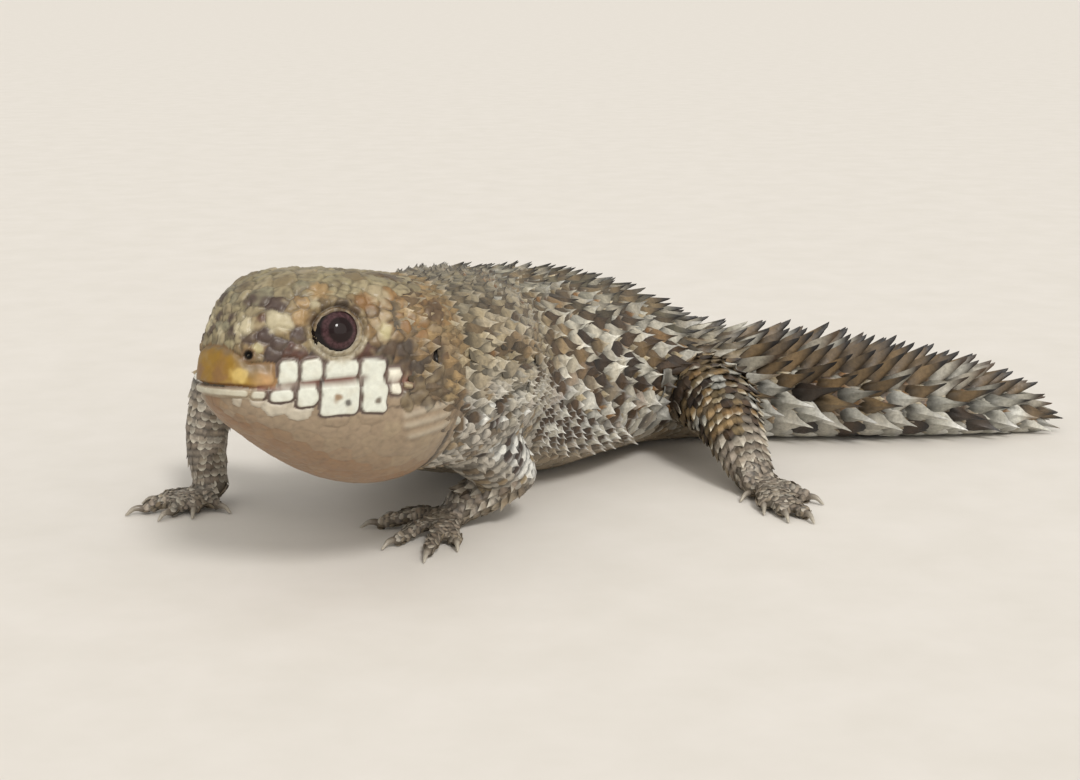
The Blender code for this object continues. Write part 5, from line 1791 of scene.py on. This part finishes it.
def head_shield_keratin():
    """Thicker keratin over bone: smoother than the body's scales, with a faint waxy gloss on the lips."""
    made, tree, shader = start_material("head_shield_keratin")
    base = add_node(tree, "ShaderNodeAttribute", {"attribute_name": "coat_colour"})
    shade = grain(tree, 0.5, 0.91, 1.07)
    colour = add_node(tree, "ShaderNodeMix", MULTIPLY, {0: 1.0, 6: base, 7: shade}, 2)
    bump = add_node(tree, "ShaderNodeBump", None, {
        "Strength": 0.25, "Distance": 0.00004, "Height": grain(tree, 0.14, inner=(0.0, 1.0))})
    fill(tree, shader, {
        "Base Color": colour, "Roughness": grain(tree, 0.5, 0.36, 0.55), "Normal": bump, "IOR": HORN_IOR})
    return made


def granular_skin():
    """Bare skin between the scales: soft, matt and finely granular, darkened as painted shade of the gaps."""
    made, tree, shader = start_material("granular_skin")
    base = add_node(tree, "ShaderNodeAttribute", {"attribute_name": "coat_colour"})
    # Painted shade: the skin takes only three to six tenths of the tint of the scales round it, for the shade
    # in the gaps
    shade = grain(tree, 0.6, 0.3, 0.6)
    colour = add_node(tree, "ShaderNodeMix", MULTIPLY, {0: 1.0, 6: base, 7: shade}, 2)
    place = add_node(tree, "ShaderNodeTexCoord", None, None, "Object")
    granule_mm = 0.35
    cells = add_node(tree, "ShaderNodeTexVoronoi", None, {"Vector": place, "Scale": 1000.0 / granule_mm})
    bump = add_node(tree, "ShaderNodeBump", {"invert": True}, {
        "Strength": 0.6, "Distance": 0.00008, "Height": cells})
    fill(tree, shader, {"Base Color": colour, "Roughness": 0.7, "Normal": bump})
    return made


def wet_eye():
    """An eye under a wet cornea: a black round pupil in a dark red-brown iris, with a clear hard gloss."""
    made, tree, shader = start_material("wet_eye")
    gaze = add_node(tree, "ShaderNodeAttribute", {"attribute_name": "gaze"}, None, "Fac")
    iris = add_node(tree, "ShaderNodeMix", BLEND, {
        0: grain(tree, 0.3, inner=(0.35, 0.65)), 6: (*linear("#2f1b1d"), 1), 7: (*linear("#4c3336"), 1)}, 2)
    colour = (*linear("#050405"), 1)
    # From the pupil out: where each ring starts and ends, its share at the start and its colour
    for low, high, start, other in (
        (0.25, 0.275, 0.0, iris), (0.275, 0.33, 1.0, (*linear("#1a0c0c"), 1)),
        (0.42, 0.5, 0.0, (*linear("#120a09"), 1)),
    ):
        share = add_node(tree, "ShaderNodeMapRange", None, {
            "Value": gaze, "From Min": low, "From Max": high, "To Min": start, "To Max": 1.0 - start})
        colour = add_node(tree, "ShaderNodeMix", BLEND, {0: share, 6: colour, 7: other}, 2)
    fill(tree, shader, {
        "Base Color": colour, "Roughness": 0.5, "IOR": 1.38, "Specular IOR Level": 0.05,
        "Coat Weight": 0.5, "Coat Roughness": 0.02})
    return made


def claw_horn():
    """Claw horn: grey-brown at the root and paler along the point, worn thin there, with a low polish."""
    made, tree, shader = start_material("claw_horn")
    reach = add_node(tree, "ShaderNodeAttribute", {"attribute_name": "reach"}, None, "Fac")
    share = add_node(tree, "ShaderNodeMapRange", None, {"Value": reach, "From Min": 0.15, "From Max": 0.9})
    colour = add_node(tree, "ShaderNodeMix", BLEND, {
        0: share, 6: (*linear("#6c6257"), 1), 7: (*linear("#a9a294"), 1)}, 2)
    shade = grain(tree, 0.3, 0.8, 1.15)
    colour = add_node(tree, "ShaderNodeMix", MULTIPLY, {0: 1.0, 6: colour, 7: shade}, 2)
    fill(tree, shader, {"Base Color": colour, "Roughness": 0.36, "IOR": HORN_IOR})
    return made


def studio_floor():
    """Matt painted board."""
    made, tree, shader = start_material("studio_floor")
    colour = add_node(tree, "ShaderNodeMix", BLEND, {
        0: grain(tree, 9.0), 6: (*linear("#d9d5ce"), 1), 7: (*linear("#dedad4"), 1)}, 2)
    fill(tree, shader, {"Base Color": colour, "Roughness": 0.85})
    return made


# Building

def dress():
    keratin = keratin_scales()
    shields = head_shield_keratin()
    skin_finish = granular_skin()
    skin_mesh, places = make_skin_mesh()
    surface = Surface(skin_mesh, places)
    spread = Spread()
    fields = body_scales(surface, spread)
    for index, name in enumerate(LEGS):
        fields[name + "_scales"] = leg_scales(name, surface, spread, index)
    fields["crease_scales"] = crease_scales(surface, spread)
    near = KDTree(sum(len(found) for found in fields.values()))
    tints = [root["base"] for found in fields.values() for root in found]
    for k, root in enumerate(root for found in fields.values() for root in found):
        near.insert(root["place"], k)
    near.balance()
    skin_colours = []
    for place in surface.points:
        found = [tints[k] for _, k, _ in near.find_n(place, 4)]
        skin_colours.append((*(sum(c[i] for c in found) / len(found) for i in range(3)), 1.0))
    set_attribute(skin_mesh, "coat_colour", "FLOAT_COLOR", skin_colours)
    skin_mesh.name = "skin"
    skin = piece_from("skin", skin_mesh, "scaly_hide", skin_finish)
    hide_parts(*FLESH)
    forms = bpy.data.collections.new("scale_forms")
    kinds = (KEELED_ROWS, SMOOTH_ROWS, POINTED_ROWS, SPINE_ROWS)
    made = [scale_form(f"form_{k}", rows, forms) for k, rows in enumerate(kinds)]
    tree = rows_of_scales()
    fields["nape_scales"] = nape_scales()
    ear_lobules(fields["nape_scales"])
    for seed, (name, found) in enumerate(fields.items()):
        grow_scales(name, found, tree, forms, keratin, Seed=seed)
    for form in made:
        bpy.data.objects.remove(form)
    piece_from("head_shields", make_head_mesh(), "scaly_hide", shields)
    eye_finish = wet_eye()
    make_eye("eye_left", 1, eye_finish)
    make_eye("eye_right", -1, eye_finish)
    make_claws(claw_horn())


def stage():
    bpy.ops.mesh.primitive_plane_add(size=40.0)
    floor = bpy.context.active_object
    floor.name = "studio_floor"
    floor.data.materials.append(studio_floor())
    world = bpy.data.worlds.new("studio")
    bpy.context.scene.world = world
    world.use_nodes = True
    background = world.node_tree.nodes["Background"]
    background.inputs["Color"].default_value = (*linear("#eceae6"), 1)
    background.inputs["Strength"].default_value = 0.64
    for name, place, strength, spread, colour in (
        ("key", (0.3, -0.72, 0.74), 1.7, 14.0, "#fffcf8"),
        ("fill", (0.8, -1.0, 0.42), 0.95, 70.0, "#fff9f0"),
        ("overhead", (-0.25, -0.4, 1.0), 0.5, 80.0, "#fff6ea"),
    ):
        light = bpy.data.lights.new(name, "SUN")
        light.energy = strength
        light.angle = math.radians(spread)
        light.color = linear(colour)
        made = bpy.data.objects.new(name, light)
        made.location = place
        made.rotation_euler = (-Vector(place)).to_track_quat("-Z", "Y").to_euler()
        bpy.context.scene.collection.objects.link(made)
    bpy.context.scene.view_settings.view_transform = "Standard"
    view = bpy.data.cameras.new("camera")
    view.lens = 60.0
    view.sensor_width = 36.0
    view.clip_start = 0.01
    made = bpy.data.objects.new("camera", view)
    made.location = (-0.0027, -0.2066, 0.0549)
    made.rotation_euler = (math.radians(77.0), 0.0, 0.0)
    bpy.context.scene.collection.objects.link(made)
    bpy.context.scene.camera = made


dress()
stage()
